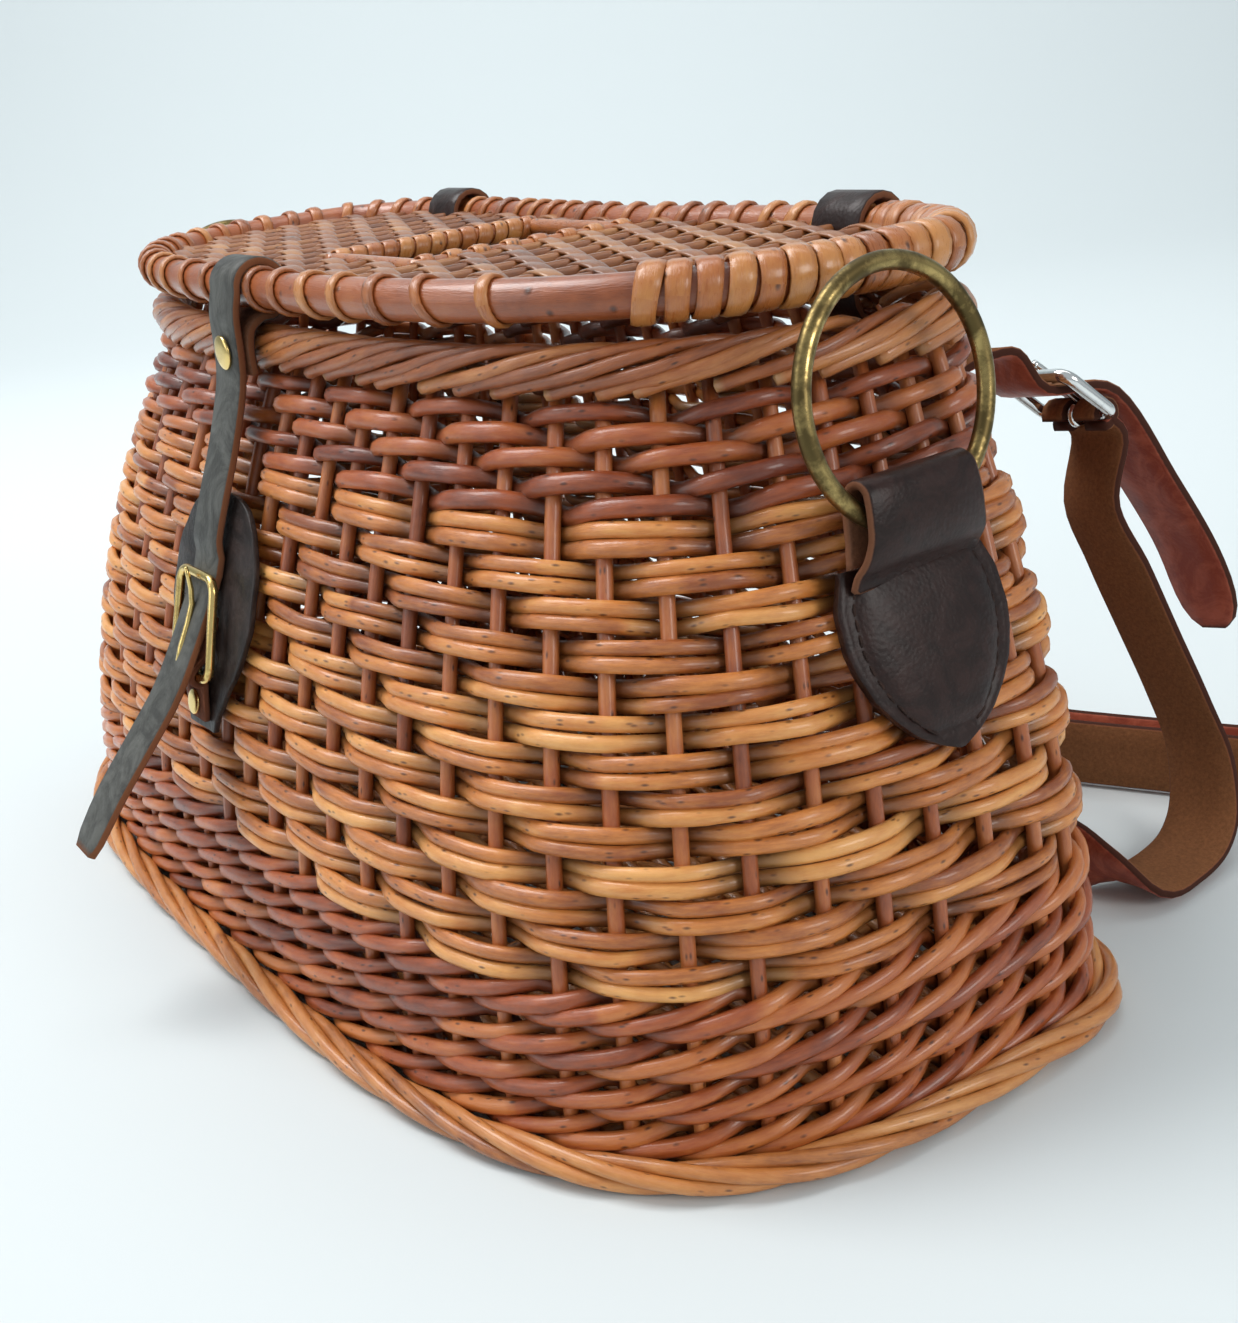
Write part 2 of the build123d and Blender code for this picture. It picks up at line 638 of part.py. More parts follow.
def make_shoulder_strap():
    """The long strap: from the buckle down to the table, twice along the back on edge and up to the left keeper."""
    lift = strap_leather / 2
    edge_z = strap_width / 2 + 0.8
    wall_out = 3 * fit_gap + leather + lift
    hang = [(136.0, 107.0, 87.0), (142.0, 114.5, 66.0), (149.0, 121.0, 45.0), (156.0, 124.0, 27.0),
            (162.5, 119.0, 12.0), (167.0, 108.0, 4.5), (169.5, 92.0, 2.6), (169.5, 79.0, 3.2)]
    turn_up = [(161.0, 70.5, 7.5), (145.0, 69.0, 11.0)]
    first_run = [(115.0, 70.5), (60.0, 73.0), (0.0, 76.0), (-34.0, 79.0), (-50.0, 83.0), (-57.0, 89.5), (-50.0, 96.0)]
    second_run = [(-30.0, 98.0), (20.0, 101.0), (60.0, 107.0), (98.0, 120.0), (142.0, 141.5), (162.0, 151.0)]
    fold_back = [(174.0, 159.0), (172.0, 165.0), (160.0, 160.0), (140.0, 149.5), (98.0, 129.0), (60.0, 116.0)]
    third_run = [(10.0, 110.0), (-60.0, 108.0)]
    runs = [(x, y, edge_z) for x, y in first_run + second_run + fold_back + third_run]
    rise = [(-98.0, 103.0, 17.0), (-118.0, 94.0, 36.0), (-118.0, 80.0, 68.0), (-114.0, 66.0, 98.0)]
    rise += [on_back(-keeper_x, z, wall_out + 0.5) for z in (124.0, 134.0, 144.0)]
    start = [tuple(at_buckle(shoulder_half_length + shoulder_wire_radius + 1.2, 0.0)),
             tuple(at_buckle(shoulder_half_length + 10.0, -2.0)), (131.5, 99.5, 106.0)]
    points = start + hang + turn_up + runs + rise
    wide = tuple(buckle_across)
    widths = [wide] * 3 + [(1, 0, 0)] * len(hang) + [(0.8, 0.0, 0.5), (0.3, 0.0, 0.95)]
    widths += [(0, 0, 1)] * len(runs) + [(-0.4, 0, 0.9), (-0.9, 0, 0.3)] + [(-1, 0, 0)] * 5
    strap = ribbon(points, widths, strap_width, strap_leather)
    eye = Rot(90, 0, 0) * Cylinder(shoulder_wire_radius + fit_gap / 2 + strap_leather, strap_width)
    hole = Rot(90, 0, 0) * Cylinder(shoulder_wire_radius + fit_gap / 2, strap_width + 4)
    eye = place_at_buckle(Pos(shoulder_half_length, 0, 0) * eye)
    hole = place_at_buckle(Pos(shoulder_half_length, 0, 0) * hole)
    gap = place_at_buckle(Pos(shoulder_half_length - 1, 0, 0) * Box(13, 4.0, 14))
    return strap + eye - hole - gap


def make_keeper(side):
    """A leather plate on the back wall that the strap end is riveted to."""
    skin = wall_band(levels(112.0, 146.0, 3), fit_gap + leather, fit_gap)
    low, high, half = 114.0, 145.0, strap_width / 2 + 3
    outline = [(-half, low), (half, low), (half, high), (-half, high)]
    outline = [(x + side * keeper_x, z) for x, z in outline]
    return skin & front_prism(outline, 120.0, 100.0)


def make_keeper_rivets():
    """The rivet heads that hold both strap ends: four alike."""
    heads = []
    for side in (1, -1):
        for z in (129.0, 138.0):
            out = on_back(keeper_x, z, 4 * fit_gap + leather + strap_leather + 0.7)[1]
            heads.append(Pos(side * keeper_x, out + 0.5, z) * (Rot(90, 0, 0) * rivet_head(3.5, 0.9)))
    return Compound(children=heads)


def whole(shape):
    """One plain solid or group of solids, ready to write."""
    solids = shape.solids()
    return solids[0] if len(solids) == 1 else Compound(children=list(solids))


parts = {
    "base_panel": make_base_panel(),
    "foot_border": make_foot_border(),
    "lower_wale": wall_band(levels(wall_foot_height, lower_wale_top, 3), 0.0, -wall_thickness),
    "body_wall": wall_band(levels(lower_wale_top, upper_wale_bottom, 5), 0.0, -wall_thickness),
    "upper_wale": make_upper_wale(),
    "top_border": make_top_border(),
    "lid_rim": make_lid_rim(),
    "lid_panel": make_lid_panel(),
    "slot_frame": make_slot_frame(),
    "hinge_loop_right": make_hinge_loop(1),
    "hinge_loop_left": make_hinge_loop(-1),
    "front_patch": make_front_patch(),
    "buckle_tab": make_buckle_tab(),
    "tab_rivet": make_tab_rivet(),
    "latch_frame": make_latch_frame(),
    "latch_prong": make_latch_prong(),
    "latch_strap": make_latch_strap(),
    "latch_rivet": make_latch_rivet(),
    "end_patch_right": make_end_patch(1),
    "end_patch_left": make_end_patch(-1),
    "ring_fold_right": make_ring_fold(1),
    "ring_fold_left": make_ring_fold(-1),
    "ring_right": make_ring(1),
    "ring_left": make_ring(-1),
    "shoulder_frame": make_shoulder_frame(),
    "shoulder_prong": make_shoulder_prong(),
    "strap_billet": make_strap_billet(),
    "shoulder_strap": make_shoulder_strap(),
    "strap_keeper_right": make_keeper(1),
    "strap_keeper_left": make_keeper(-1),
    "keeper_rivets": make_keeper_rivets(),
}

for node, shape in parts.items():
    export_step(whole(shape), f"parts/{node}.step")
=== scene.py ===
"""Dresses the wicker fishing creel: woven body, caned lid, leather, brass and shoulder strap, on its frame.

Sizes inside the classes are millimetres, as on a maker's drawing. Meshes are written in metres.
+Z is up, -Y is the front with the latch, +X is the end nearest the camera.
"""
import logging
import math
import random
from collections.abc import Callable, Iterable
from dataclasses import astuple, dataclass, field, replace
from enum import Enum

import bpy
import numpy as np
from mathutils import Matrix, Vector


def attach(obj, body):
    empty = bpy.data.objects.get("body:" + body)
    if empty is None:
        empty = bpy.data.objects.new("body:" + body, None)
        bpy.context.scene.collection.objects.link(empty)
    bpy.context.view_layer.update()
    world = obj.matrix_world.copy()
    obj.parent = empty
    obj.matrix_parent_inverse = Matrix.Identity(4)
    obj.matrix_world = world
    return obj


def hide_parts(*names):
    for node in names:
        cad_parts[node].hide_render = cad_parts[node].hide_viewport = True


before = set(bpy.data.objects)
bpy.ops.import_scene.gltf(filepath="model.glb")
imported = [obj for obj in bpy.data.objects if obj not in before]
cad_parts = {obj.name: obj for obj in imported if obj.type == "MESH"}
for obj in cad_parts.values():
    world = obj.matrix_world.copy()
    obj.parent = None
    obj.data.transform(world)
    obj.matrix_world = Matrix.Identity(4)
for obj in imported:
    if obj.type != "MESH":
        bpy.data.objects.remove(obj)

MM = 0.001
LOG = logging.getLogger("creel")
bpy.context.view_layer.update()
Array = np.ndarray
Colour = tuple[float, float, float]
Point = tuple[float, float, float]
Shares = tuple[tuple[float, float], ...]
Inputs = dict[str | int, object]
Object = bpy.types.Object
Socket = bpy.types.NodeSocket
ALONG_X = np.array([1.0, 0.0, 0.0])
UP = np.array([0.0, 0.0, 1.0])
MATERIALS: dict[str, bpy.types.Material] = {}


class Side(Enum):
    """The two ends of the basket."""

    RIGHT = 1
    LEFT = -1

    @property
    def word(self) -> str:
        """The side's name in small letters."""
        return self.name.lower()


class Part(Enum):
    """The parts of a mesh that can be picked by their place."""

    FACE = "FACE"
    EDGE = "EDGE"


# ---------------------------------------------------------------- lines and outlines


def unit(vectors: Array) -> Array:
    """The vectors along the last axis, scaled to length one."""
    return vectors / np.maximum(np.linalg.norm(vectors, axis=-1, keepdims=True), 1e-12)


def points_of(x: Array, y: Array, z: Array) -> Array:
    """Points, one a row, from numbers or lists of numbers for x, y and z."""
    return np.stack(np.broadcast_arrays(x, y, z), axis=-1).astype(float)


def arc(across: float, up: float, radius: float, degrees: Iterable[float]) -> list[tuple[float, float]]:
    """Places on a circle round a middle, at the given angles."""
    turns = [math.radians(angle) for angle in degrees]
    return [(across + radius * math.cos(turn), up + radius * math.sin(turn)) for turn in turns]


def smooth_line(points: Iterable[Point], steps: int) -> Array:
    """A smooth curve through points.

    Args:
        points: the points it passes through.
        steps: how many short runs lie between two of them.
    Returns:
        The points of the curve, the last given point included.
    """
    given = np.asarray(points, float)
    padded = np.vstack([given[:1], given, given[-1:]])
    t = np.arange(steps)[:, None] / steps
    runs = []
    for a, b, c, d in zip(padded, padded[1:], padded[2:], padded[3:]):
        square, cube = 2 * a - 5 * b + 4 * c - d, 3 * b - a - 3 * c + d
        runs.append(0.5 * (2 * b + (c - a) * t + square * t**2 + cube * t**3))
    return np.vstack(runs + [given[-1:]])


def arch(share: Array, power: Array) -> Array:
    """How high a rounded arch stands: 1 at its middle, where share is 0, and 0 where share is 1 or -1."""
    return np.maximum(1 - np.abs(share) ** power, 0) ** (1 / power)


@dataclass(frozen=True)
class Outline:
    """A kidney-shaped outline: two rounded halves, with the back drawn in at its middle."""

    half_length: float
    front: float
    back: float
    front_power: float
    back_power: float
    hollow: float

    def grown(self, out: float) -> "Outline":
        """The same outline, moved out all round by a distance."""
        return replace(self, half_length=self.half_length + out, front=self.front + out, back=self.back + out)

    def back_depth(self, x: Array) -> Array:
        """How deep the back half is at each x, before its ends are rounded."""
        return self.back - self.hollow * np.exp(-((2 * x / self.half_length) ** 2))

    def even(self, count: int, trace: int = 1440) -> Array:
        """Evenly spaced points on the outline, from the middle of the front, turning towards +X.

        Args:
            count: how many points.
            trace: how many points the outline is measured by.
        Returns:
            The points, x and y in a row.
        """
        angle = 2 * math.pi * np.arange(trace + 1) / trace
        side, ahead = np.sin(angle), -np.cos(angle)
        power = np.where(ahead < 0, self.front_power, self.back_power)
        x = self.half_length * np.sign(side) * np.abs(side) ** (2 / power)
        depth = np.where(ahead < 0, self.front, self.back_depth(x))
        y = depth * np.sign(ahead) * np.abs(ahead) ** (2 / power)
        lengths = np.concatenate([[0.0], np.cumsum(np.hypot(np.diff(x), np.diff(y)))])
        wanted = lengths[-1] * np.arange(count) / count
        return np.stack([np.interp(wanted, lengths, x), np.interp(wanted, lengths, y)], axis=1)

    def front_at(self, x: Array) -> Array:
        """How far the front stands out at each x."""
        return self.front * arch(x / self.half_length, self.front_power)

    def back_at(self, x: Array) -> Array:
        """How far the back stands out at each x."""
        return self.back_depth(x) * arch(x / self.half_length, self.back_power)

    def end_at(self, y: Array) -> Array:
        """How far the end stands out at each y."""
        depth, power = np.where(y < 0, [[self.front], [self.front_power]], [[self.back], [self.back_power]])
        return (self.half_length * arch(y / depth, power)).reshape(np.shape(y))

    def line(self, z: float, count: int) -> tuple[Array, Array]:
        """A level line round the outline.

        Args:
            z: its height.
            count: how many points.
        Returns:
            The points and the outward normals.
        """
        flat = self.even(count)
        points = points_of(flat[:, 0], flat[:, 1], z)
        along = unit(np.roll(points, -1, 0) - np.roll(points, 1, 0))
        return points, unit(np.cross(along, UP))


@dataclass
class Wall:
    """The leaning wall of the basket, between its foot and its mouth."""

    base: Outline = Outline(201.0, 134.0, 58.0, 3.4, 3.0, 6.0)
    top: Outline = Outline(158.0, 88.0, 48.0, 2.6, 3.2, 11.0)
    height: float = 168.0
    shoulder_power: float = 1.9
    strap_reach: float = 12.0
    lowest: float = -6.0
    step: float = 2.0
    levels: int = 100
    columns: int = 960
    table: Array = field(init=False)

    def __post_init__(self) -> None:
        """Works out the table of outlines, one a level, that look_up reads."""
        heights = [self.lowest + self.step * level for level in range(self.levels)]
        rings = [self.outline(height).even(self.columns) for height in heights]
        self.table = np.stack([np.vstack([ring, ring[:1]]) for ring in rings])

    def outline(self, z: float) -> Outline:
        """The wall's outer outline at a height.

        Args:
            z: the height.
        Returns:
            The outline.
        """
        share = (max(z, 0.0) / self.height) ** self.shoulder_power
        sizes = zip(astuple(self.base), astuple(self.top))
        return Outline(*(low + (high - low) * share for low, high in sizes))

    def look_up(self, share: Array, z: Array) -> Array:
        """Points on the wall's outer face.

        Args:
            share: how far round each point is, 0 to 1 from the middle of the front.
            z: its height.
        Returns:
            The points, x, y and z in a row.
        """
        column = (share % 1.0) * self.columns
        row = (z - self.lowest) / self.step
        c0, r0 = np.floor(column).astype(int), np.clip(np.floor(row).astype(int), 0, self.levels - 2)
        fc, fr = (column - c0)[:, None], (row - r0)[:, None]
        low = self.table[r0, c0] * (1 - fc) + self.table[r0, c0 + 1] * fc
        high = self.table[r0 + 1, c0] * (1 - fc) + self.table[r0 + 1, c0 + 1] * fc
        return np.column_stack([low * (1 - fr) + high * fr, z])

    def at(self, share: Array, z: Array, out: Array, up: Array = 0.0) -> tuple[Array, Array]:
        """Points off the wall.

        Args:
            share: how far round, 0 to 1.
            z: the height on the wall's face.
            out: how far out from the face.
            up: how far up along the face.
        Returns:
            The points and the outward normals there.
        """
        aside, above = 0.002, 2.0
        along = unit(self.look_up(share + aside, z) - self.look_up(share - aside, z))
        rise = unit(self.look_up(share, z + above) - self.look_up(share, z - above))
        normal = unit(np.cross(along, rise))
        out, up = np.broadcast_to(out, len(z)), np.broadcast_to(up, len(z))
        return self.look_up(share, z) + normal * out[:, None] + rise * up[:, None], normal

    def on_front(self, x: Array, z: Array, out: Array) -> Array:
        """Points off the front of the wall, by x and height.

        Args:
            x: their places along the front.
            z: their heights.
            out: how far they stand off the wall.
        Returns:
            The points.
        """
        y = np.array([-self.outline(b).front_at(a) for a, b in zip(x, z)])
        lean = np.array([self.outline(b - 1).front - self.outline(b + 1).front for b in z]) / 2
        normal = unit(np.stack([0 * x, -np.ones_like(x), lean], axis=1))
        return points_of(x, y, z) + normal * out[:, None]

    def on_end(self, y: Array, z: Array, out: Array, side: Side) -> Array:
        """Points off an end of the wall, by y and height.

        Args:
            y: their places along the end.
            z: their heights.
            out: how far they stand off the wall.
            side: which end.
        Returns:
            The points.
        """

        def reach(aside: float = 0.0, above: float = 0.0) -> Array:
            """How far the end stands out, a little aside of the places and above them."""
            return np.array([self.outline(b + above).end_at(a + aside) for a, b in zip(y, z)])

        slopes = (reach(aside=-1) - reach(aside=1)) / 2, (reach(above=-1) - reach(above=1)) / 2
        normal = unit(np.stack([np.ones_like(y), *slopes], axis=1))
        points = points_of(reach(), y, z) + normal * out[:, None]
        return points * (side.value, 1, 1)

    def back_at(self, x: float, z: float) -> float:
        """How far back the wall stands at x and z."""
        return float(self.outline(z).back_at(x))

    def back_clear(self, x: float, z: float) -> float:
        """How far back a strap at x and z has to stand, to clear the wall over its width."""
        return float(self.outline(z).back_at(abs(x) + self.strap_reach * np.linspace(-1, 1, 5)).max())


# ---------------------------------------------------------------- meshes


def ring_section(sides: int, square: float = 1.0) -> Array:
    """The cross-section of a rod or cane, as shares of its half width and half height.

    Args:
        sides: how many corners it has.
        square: 1 for round, less for flatter sides.
    Returns:
        The corners.
    """
    angle = 2 * math.pi * (np.arange(sides) + 0.5) / sides
    c, s = np.cos(angle), np.sin(angle)
    return np.stack([np.sign(c) * np.abs(c) ** square, np.sign(s) * np.abs(s) ** square], axis=1)


ROUND = ring_section(8)
FLAT_CANE = ring_section(8, 0.55)
BINDING = ring_section(8, 0.8)
STRAP_UPPER = [(1, -0.5), (1, 0.5), (0.94, 1), (0.35, 1), (-0.35, 1), (-0.94, 1)]
STRAP = np.array(STRAP_UPPER + [(-x, -y) for x, y in STRAP_UPPER])
STRAP_EDGE = np.array([1, 1, 0, 0, 0, 0, 1, 1, 0, 0, 0, 0], float)
STRAP_FLESH = np.array([0.5, 0, 0, 0, 0, 0, 0, 0.5, 1, 1, 1, 1], float)


def directions(path: Array, closed: bool) -> Array:
    """The way ahead at each point of a path.

    Args:
        path: its points.
        closed: whether it ends where it starts.
    Returns:
        The directions, of any length.
    """
    ahead = np.roll(path, -1, 0) - np.roll(path, 1, 0)
    if not closed:
        ahead[0], ahead[-1] = path[1] - path[0], path[-1] - path[-2]
    return ahead


@dataclass
class Strands:
    """Collects rods, canes and straps in one mesh, with a UV along each strand and its marks."""

    points: list[Array] = field(default_factory=list)
    quads: list[Array] = field(default_factory=list)
    uvs: list[Array] = field(default_factory=list)
    marks: dict[str, list[Array]] = field(default_factory=lambda: {"tone": [], "deep": [], "cut": []})
    total: int = 0
    uv_rate: float = 0.1
    uv_spread: float = 40.0
    cap_bulge: float = 0.3
    rim_paleness: float = 0.7

    def add(self, path: Array, normals: Array, width: Array, height: Array, section: Array = ROUND,
            closed: bool = False, tone: Array = 0.5, deep: Array = 0.0, cut: Array = 0.0,
            ends: tuple[float, float] = (0.0, 0.0)) -> None:
        """Adds one strand.

        Args:
            path: the points along its middle, in millimetres.
            normals: the direction of its height at each point.
            width: half its width at each point, across path and normal.
            height: half its height at each point, along the normal.
            section: its cross-section, from ring_section or alike.
            closed: whether it ends where it starts.
            tone: its shade, 0 dark to 1 light, at each point.
            deep: painted shade where it is tucked behind or under other strands, and the flesh side of
                leather, at each point or corner.
            cut: how raw, at each corner.
            ends: how pale its first and last ends are, as cut wood.
        """
        count, sides, first = len(path), len(section), self.total
        ahead = unit(directions(path, closed))
        across = unit(np.cross(ahead, np.broadcast_to(normals, path.shape)))
        up = np.cross(across, ahead)
        wide = np.broadcast_to(width, count)[:, None] * section[:, 0]
        height = np.broadcast_to(height, count)
        tall = height[:, None] * section[:, 1]
        rings = path[:, None] + across[:, None] * wide[:, :, None] + up[:, None] * tall[:, :, None]
        i, k = (grid.ravel() for grid in np.mgrid[0:count if closed else count - 1, 0:sides])
        j, m = (i + 1) % count, (k + 1) % sides
        steps = np.linalg.norm(np.roll(path, -1, 0) - path, axis=1)
        shift = random.random() * self.uv_spread
        along = np.concatenate([[0.0], np.cumsum(steps)]) * self.uv_rate + shift
        u0, u1, v0, v1 = along[i], along[i + 1], k / sides, (k + 1) / sides
        self.points.append(rings.reshape(-1, 3))
        corners = i * sides + k, j * sides + k, j * sides + m, i * sides + m
        self.quads.append(first + np.stack(corners, axis=1))
        self.uvs.append(np.stack([u0, v0, u1, v0, u1, v1, u0, v1], axis=1).reshape(-1, 4, 2))
        self.total += count * sides
        marks = {}
        # The marks: tone; painted shade on tucked-away rods, which also marks the flesh side of leather; and
        # raw cut.
        for name, value in (("tone", tone), ("deep", deep), ("cut", cut)):
            value = np.asarray(value, float)
            if value.ndim == 1 and len(value) == count != sides:
                value = value[:, None]
            marks[name] = [np.array(np.broadcast_to(value, (count, sides)))]
        for end, out, pale in () if closed else ((0, -1.0, ends[0]), (count - 1, 1.0, ends[1])):
            self.points.append((path[end] + ahead[end] * out * self.cap_bulge * height[end])[None])
            ring = first + end * sides + np.arange(sides)
            a, b, c = ring[0::2], ring[1::2], np.roll(ring, -2)[0::2]
            hub = np.full(len(a), self.total)
            self.quads.append(np.stack([hub, a, b, c] if end == 0 else [hub, c, b, a], axis=1))
            self.uvs.append(np.full((len(a), 4, 2), (shift, 0.5)))
            marks["cut"][0][end] = np.maximum(marks["cut"][0][end], pale * self.rim_paleness)
            for name, values in marks.items():
                raw = name == "cut" and pale > 0
                values.append(np.array([pale]) if raw else values[0][end].mean(keepdims=True))
            self.total += 1
        for name, values in marks.items():
            self.marks[name] += [value.ravel() for value in values]

    def strap(self, path: Array, across: Array, half_width: Array, half_thick: float,
              closed: bool = False) -> None:
        """Adds a flat leather strap whose width keeps to a given direction.

        Args:
            path: the points along its middle, in millimetres.
            across: the direction of its width at each point; the grain side is along across x path.
            half_width: half its width.
            half_thick: half its thickness.
            closed: whether it ends where it starts.
        """
        normals = unit(np.cross(np.broadcast_to(across, path.shape), directions(path, closed)))
        edge, flesh = (np.broadcast_to(mark, (len(path), len(STRAP))) for mark in (STRAP_EDGE, STRAP_FLESH))
        self.add(path, normals, half_width, half_thick, STRAP, closed, deep=flesh, cut=edge, ends=(1.0, 1.0))

    def build(self, name: str, finish: str, body: str, slot: str, *replaces: str) -> None:
        """Makes the mesh and puts it on its body.

        Args:
            name: the piece's name.
            finish: its material.
            body: the body that it moves with.
            slot: not used; only passed on to settle.
            replaces: the nodes of the frame that it stands for.
        """
        mesh = bpy.data.meshes.new(name)
        quads = np.vstack(self.quads)
        mesh.from_pydata((np.vstack(self.points) * MM).tolist(), [], quads.tolist())
        places = np.vstack(self.uvs).astype(np.float32).ravel()
        mesh.uv_layers.new(name="UVMap").data.foreach_set("uv", places)
        for mark, values in self.marks.items():
            attribute = mesh.attributes.new(mark, "FLOAT", "POINT")
            attribute.data.foreach_set("value", np.concatenate(values).astype(np.float32))
        mesh.polygons.foreach_set("use_smooth", np.ones(len(quads), bool))
        mesh.update()
        piece = bpy.data.objects.new(name, mesh)
        bpy.context.scene.collection.objects.link(piece)
        settle(piece, finish, body, slot, *replaces)


def settle(piece: Object, finish: str, body: str, slot: str, *replaces: str) -> None:
    """Gives a piece its material, puts it on its body and reports it.

    Args:
        piece: the object.
        finish: its material.
        body: the body that it moves with.
        slot: not used.
        replaces: the nodes of the frame that it stands for.
    """
    piece.data.materials.clear()
    piece.data.materials.append(MATERIALS[finish])
    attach(piece, body)
    if replaces:
        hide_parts(*replaces)
    LOG.info("%s: %d faces on %s", piece.name, len(piece.data.polygons), body)


# ---------------------------------------------------------------- the modelling bench


def clear_bench() -> None:
    """Deselects everything, in object mode."""
    if bpy.context.object and bpy.context.object.mode == "EDIT":
        bpy.ops.object.mode_set(mode="OBJECT")
    bpy.ops.object.select_all(action="DESELECT")


def take(name: str) -> Object:
    """Names the object that was just made.

    Args:
        name: the name, also for its mesh.
    Returns:
        The object.
    """
    piece = bpy.context.object
    piece.name = piece.data.name = name
    return piece


def pick(piece: Object, wanted: Part, test: Callable[[Vector, Vector], bool]) -> None:
    """Selects faces or edges of a piece by their place, and leaves it in edit mode.

    Args:
        piece: the object, in object mode.
        wanted: which parts.
        test: takes the middle of a face and its normal, or that of an edge and its run, and says whether to
            select it.
    """
    mesh = piece.data
    for thing in [*mesh.vertices, *mesh.edges, *mesh.polygons]:
        thing.select = False
    if wanted is Part.FACE:
        for face in mesh.polygons:
            face.select = bool(test(face.center, face.normal))
    else:
        for edge in mesh.edges:
            a, b = (mesh.vertices[v].co for v in edge.vertices)
            edge.select = bool(test((a + b) / 2, b - a))
    bpy.context.view_layer.objects.active = piece
    bpy.ops.object.mode_set(mode="EDIT")
    bpy.ops.mesh.select_mode(type=wanted.value)


def move_vertices(piece: Object, points: Array) -> None:
    """Puts each vertex of a piece at a point, in millimetres."""
    for vertex, point in zip(piece.data.vertices, points):
        vertex.co = Vector(point) * MM


def apply_modifier(piece: Object, kind: str, **settings: float | str) -> None:
    """Adds a modifier and applies it.

    Args:
        piece: the object.
        kind: the modifier's Blender type.
        settings: its settings.
    """
    modifier = piece.modifiers.new(kind.lower(), kind)
    for name, value in settings.items():
        setattr(modifier, name, value)
    bpy.context.view_layer.objects.active = piece
    bpy.ops.object.modifier_apply(modifier=modifier.name)


def soften(piece: Object, width: float, angle: float = 30.0) -> None:
    """Rounds the edges of a piece that are sharper than an angle in degrees, by a width in millimetres."""
    limit = math.radians(angle)
    apply_modifier(piece, "BEVEL", width=width * MM, segments=2, limit_method="ANGLE", angle_limit=limit)


def finish_mesh(piece: Object, angle: float) -> None:
    """Merges doubles, turns the faces out, puts the piece at the origin and smooths it by angle.

    Args:
        piece: the object.
        angle: edges sharper than this stay sharp, in degrees.
    """
    bpy.context.view_layer.objects.active = piece
    if piece.mode != "EDIT":
        bpy.ops.object.mode_set(mode="EDIT")
    bpy.ops.mesh.select_all(action="SELECT")
    bpy.ops.mesh.remove_doubles(threshold=0.02 * MM)
    bpy.ops.mesh.normals_make_consistent(inside=False)
    clear_bench()
    piece.select_set(True)
    bpy.context.view_layer.objects.active = piece
    bpy.ops.object.transform_apply(location=True, rotation=True, scale=True)
    bpy.ops.object.shade_smooth_by_angle(angle=math.radians(angle))


def finish_plate(plate: Object, thick: float, edge: float, angle: float = 50.0) -> None:
    """Gives a thin sheet its thickness and soft edges.

    Args:
        plate: the sheet, in its place.
        thick: how thick it becomes, half to each side.
        edge: how far its edges are rounded.
        angle: edges sharper than this are rounded, in degrees.
    """
    apply_modifier(plate, "SOLIDIFY", thickness=thick * MM, offset=0.0)
    soften(plate, edge, angle)
    finish_mesh(plate, 50.0)


# ---------------------------------------------------------------- finishes


@dataclass
class Graph:
    """A node tree in the making, with short calls for the nodes that the finishes use."""

    tree: bpy.types.NodeTree

    def put(self, target: Socket, value: Socket | float | tuple[float, ...]) -> None:
        """Links a source to an input, or sets the input's own value.

        Args:
            target: the input.
            value: the source or the value.
        """
        if isinstance(value, Socket):
            self.tree.links.new(value, target)
        else:
            target.default_value = value

    def node(self, kind: str, inputs: Inputs | None = None, **settings: object) -> bpy.types.Node:
        """Adds a node.

        Args:
            kind: its Blender type, without ShaderNode.
            inputs: values or sources for its inputs, by name or number.
            settings: its own settings.
        Returns:
            The node.
        """
        node = self.tree.nodes.new("ShaderNode" + kind)
        for name, value in settings.items():
            setattr(node, name, value)
        for name, value in (inputs or {}).items():
            self.put(node.inputs[name], value)
        return node

    def math(self, operation: str, *values: Socket | float, clamp: bool = False) -> Socket:
        """Reckons with values."""
        return self.node("Math", dict(enumerate(values)), operation=operation, use_clamp=clamp).outputs[0]

    def noise(self, place: Socket, scale: Socket | float, detail: float, **more: float) -> Socket:
        """Clouds of noise."""
        return self.node("TexNoise", {"Vector": place, "Scale": scale, "Detail": detail, **more}).outputs[0]

    def stretch(self, place: Socket, along: float, across: float) -> Socket:
        """Scales a place along and across a rod."""
        return self.node("Mapping", {"Vector": place, "Scale": (along, across, across)}).outputs[0]

    def spread(self, value: Socket, low: float, high: float, bottom: float = 0.0, top: float = 1.0) -> Socket:
        """Maps the range from low to high onto the one from bottom to top."""
        return self.node("MapRange", {0: value, 1: low, 2: high, 3: bottom, 4: top}).outputs[0]

    def mark(self, name: str) -> Socket:
        """Reads one of the marks on the mesh."""
        return self.node("Attribute", attribute_name=name).outputs["Fac"]

    def blend(self, share: Socket | float, first: Socket, second: Socket | tuple[float, ...],
              mode: str = "MIX") -> Socket:
        """Mixes two colours."""
        return self.node("Mix", {0: share, 6: first, 7: second}, data_type="RGBA", blend_type=mode).outputs[2]

    def bump(self, height: Socket, strength: float, distance: float, **more: Socket) -> Socket:
        """Raises the surface by a height."""
        inputs = {"Strength": strength, "Distance": distance, "Height": height, **more}
        return self.node("Bump", inputs).outputs[0]

    def colours(self, level: Socket, *stops: tuple[float, Colour]) -> Socket:
        """Turns a level into a colour.

        Args:
            level: the level, 0 to 1.
            stops: place and colour of each stop, two or more.
        Returns:
            The colour.
        """
        ramp = self.node("ValToRGB", {0: level})
        elements = ramp.color_ramp.elements
        while len(elements) < len(stops):
            elements.new(1.0)
        for element, (place, colour) in zip(elements, stops):
            element.position = place
            element.color = (*colour, 1.0)
        return ramp.outputs[0]


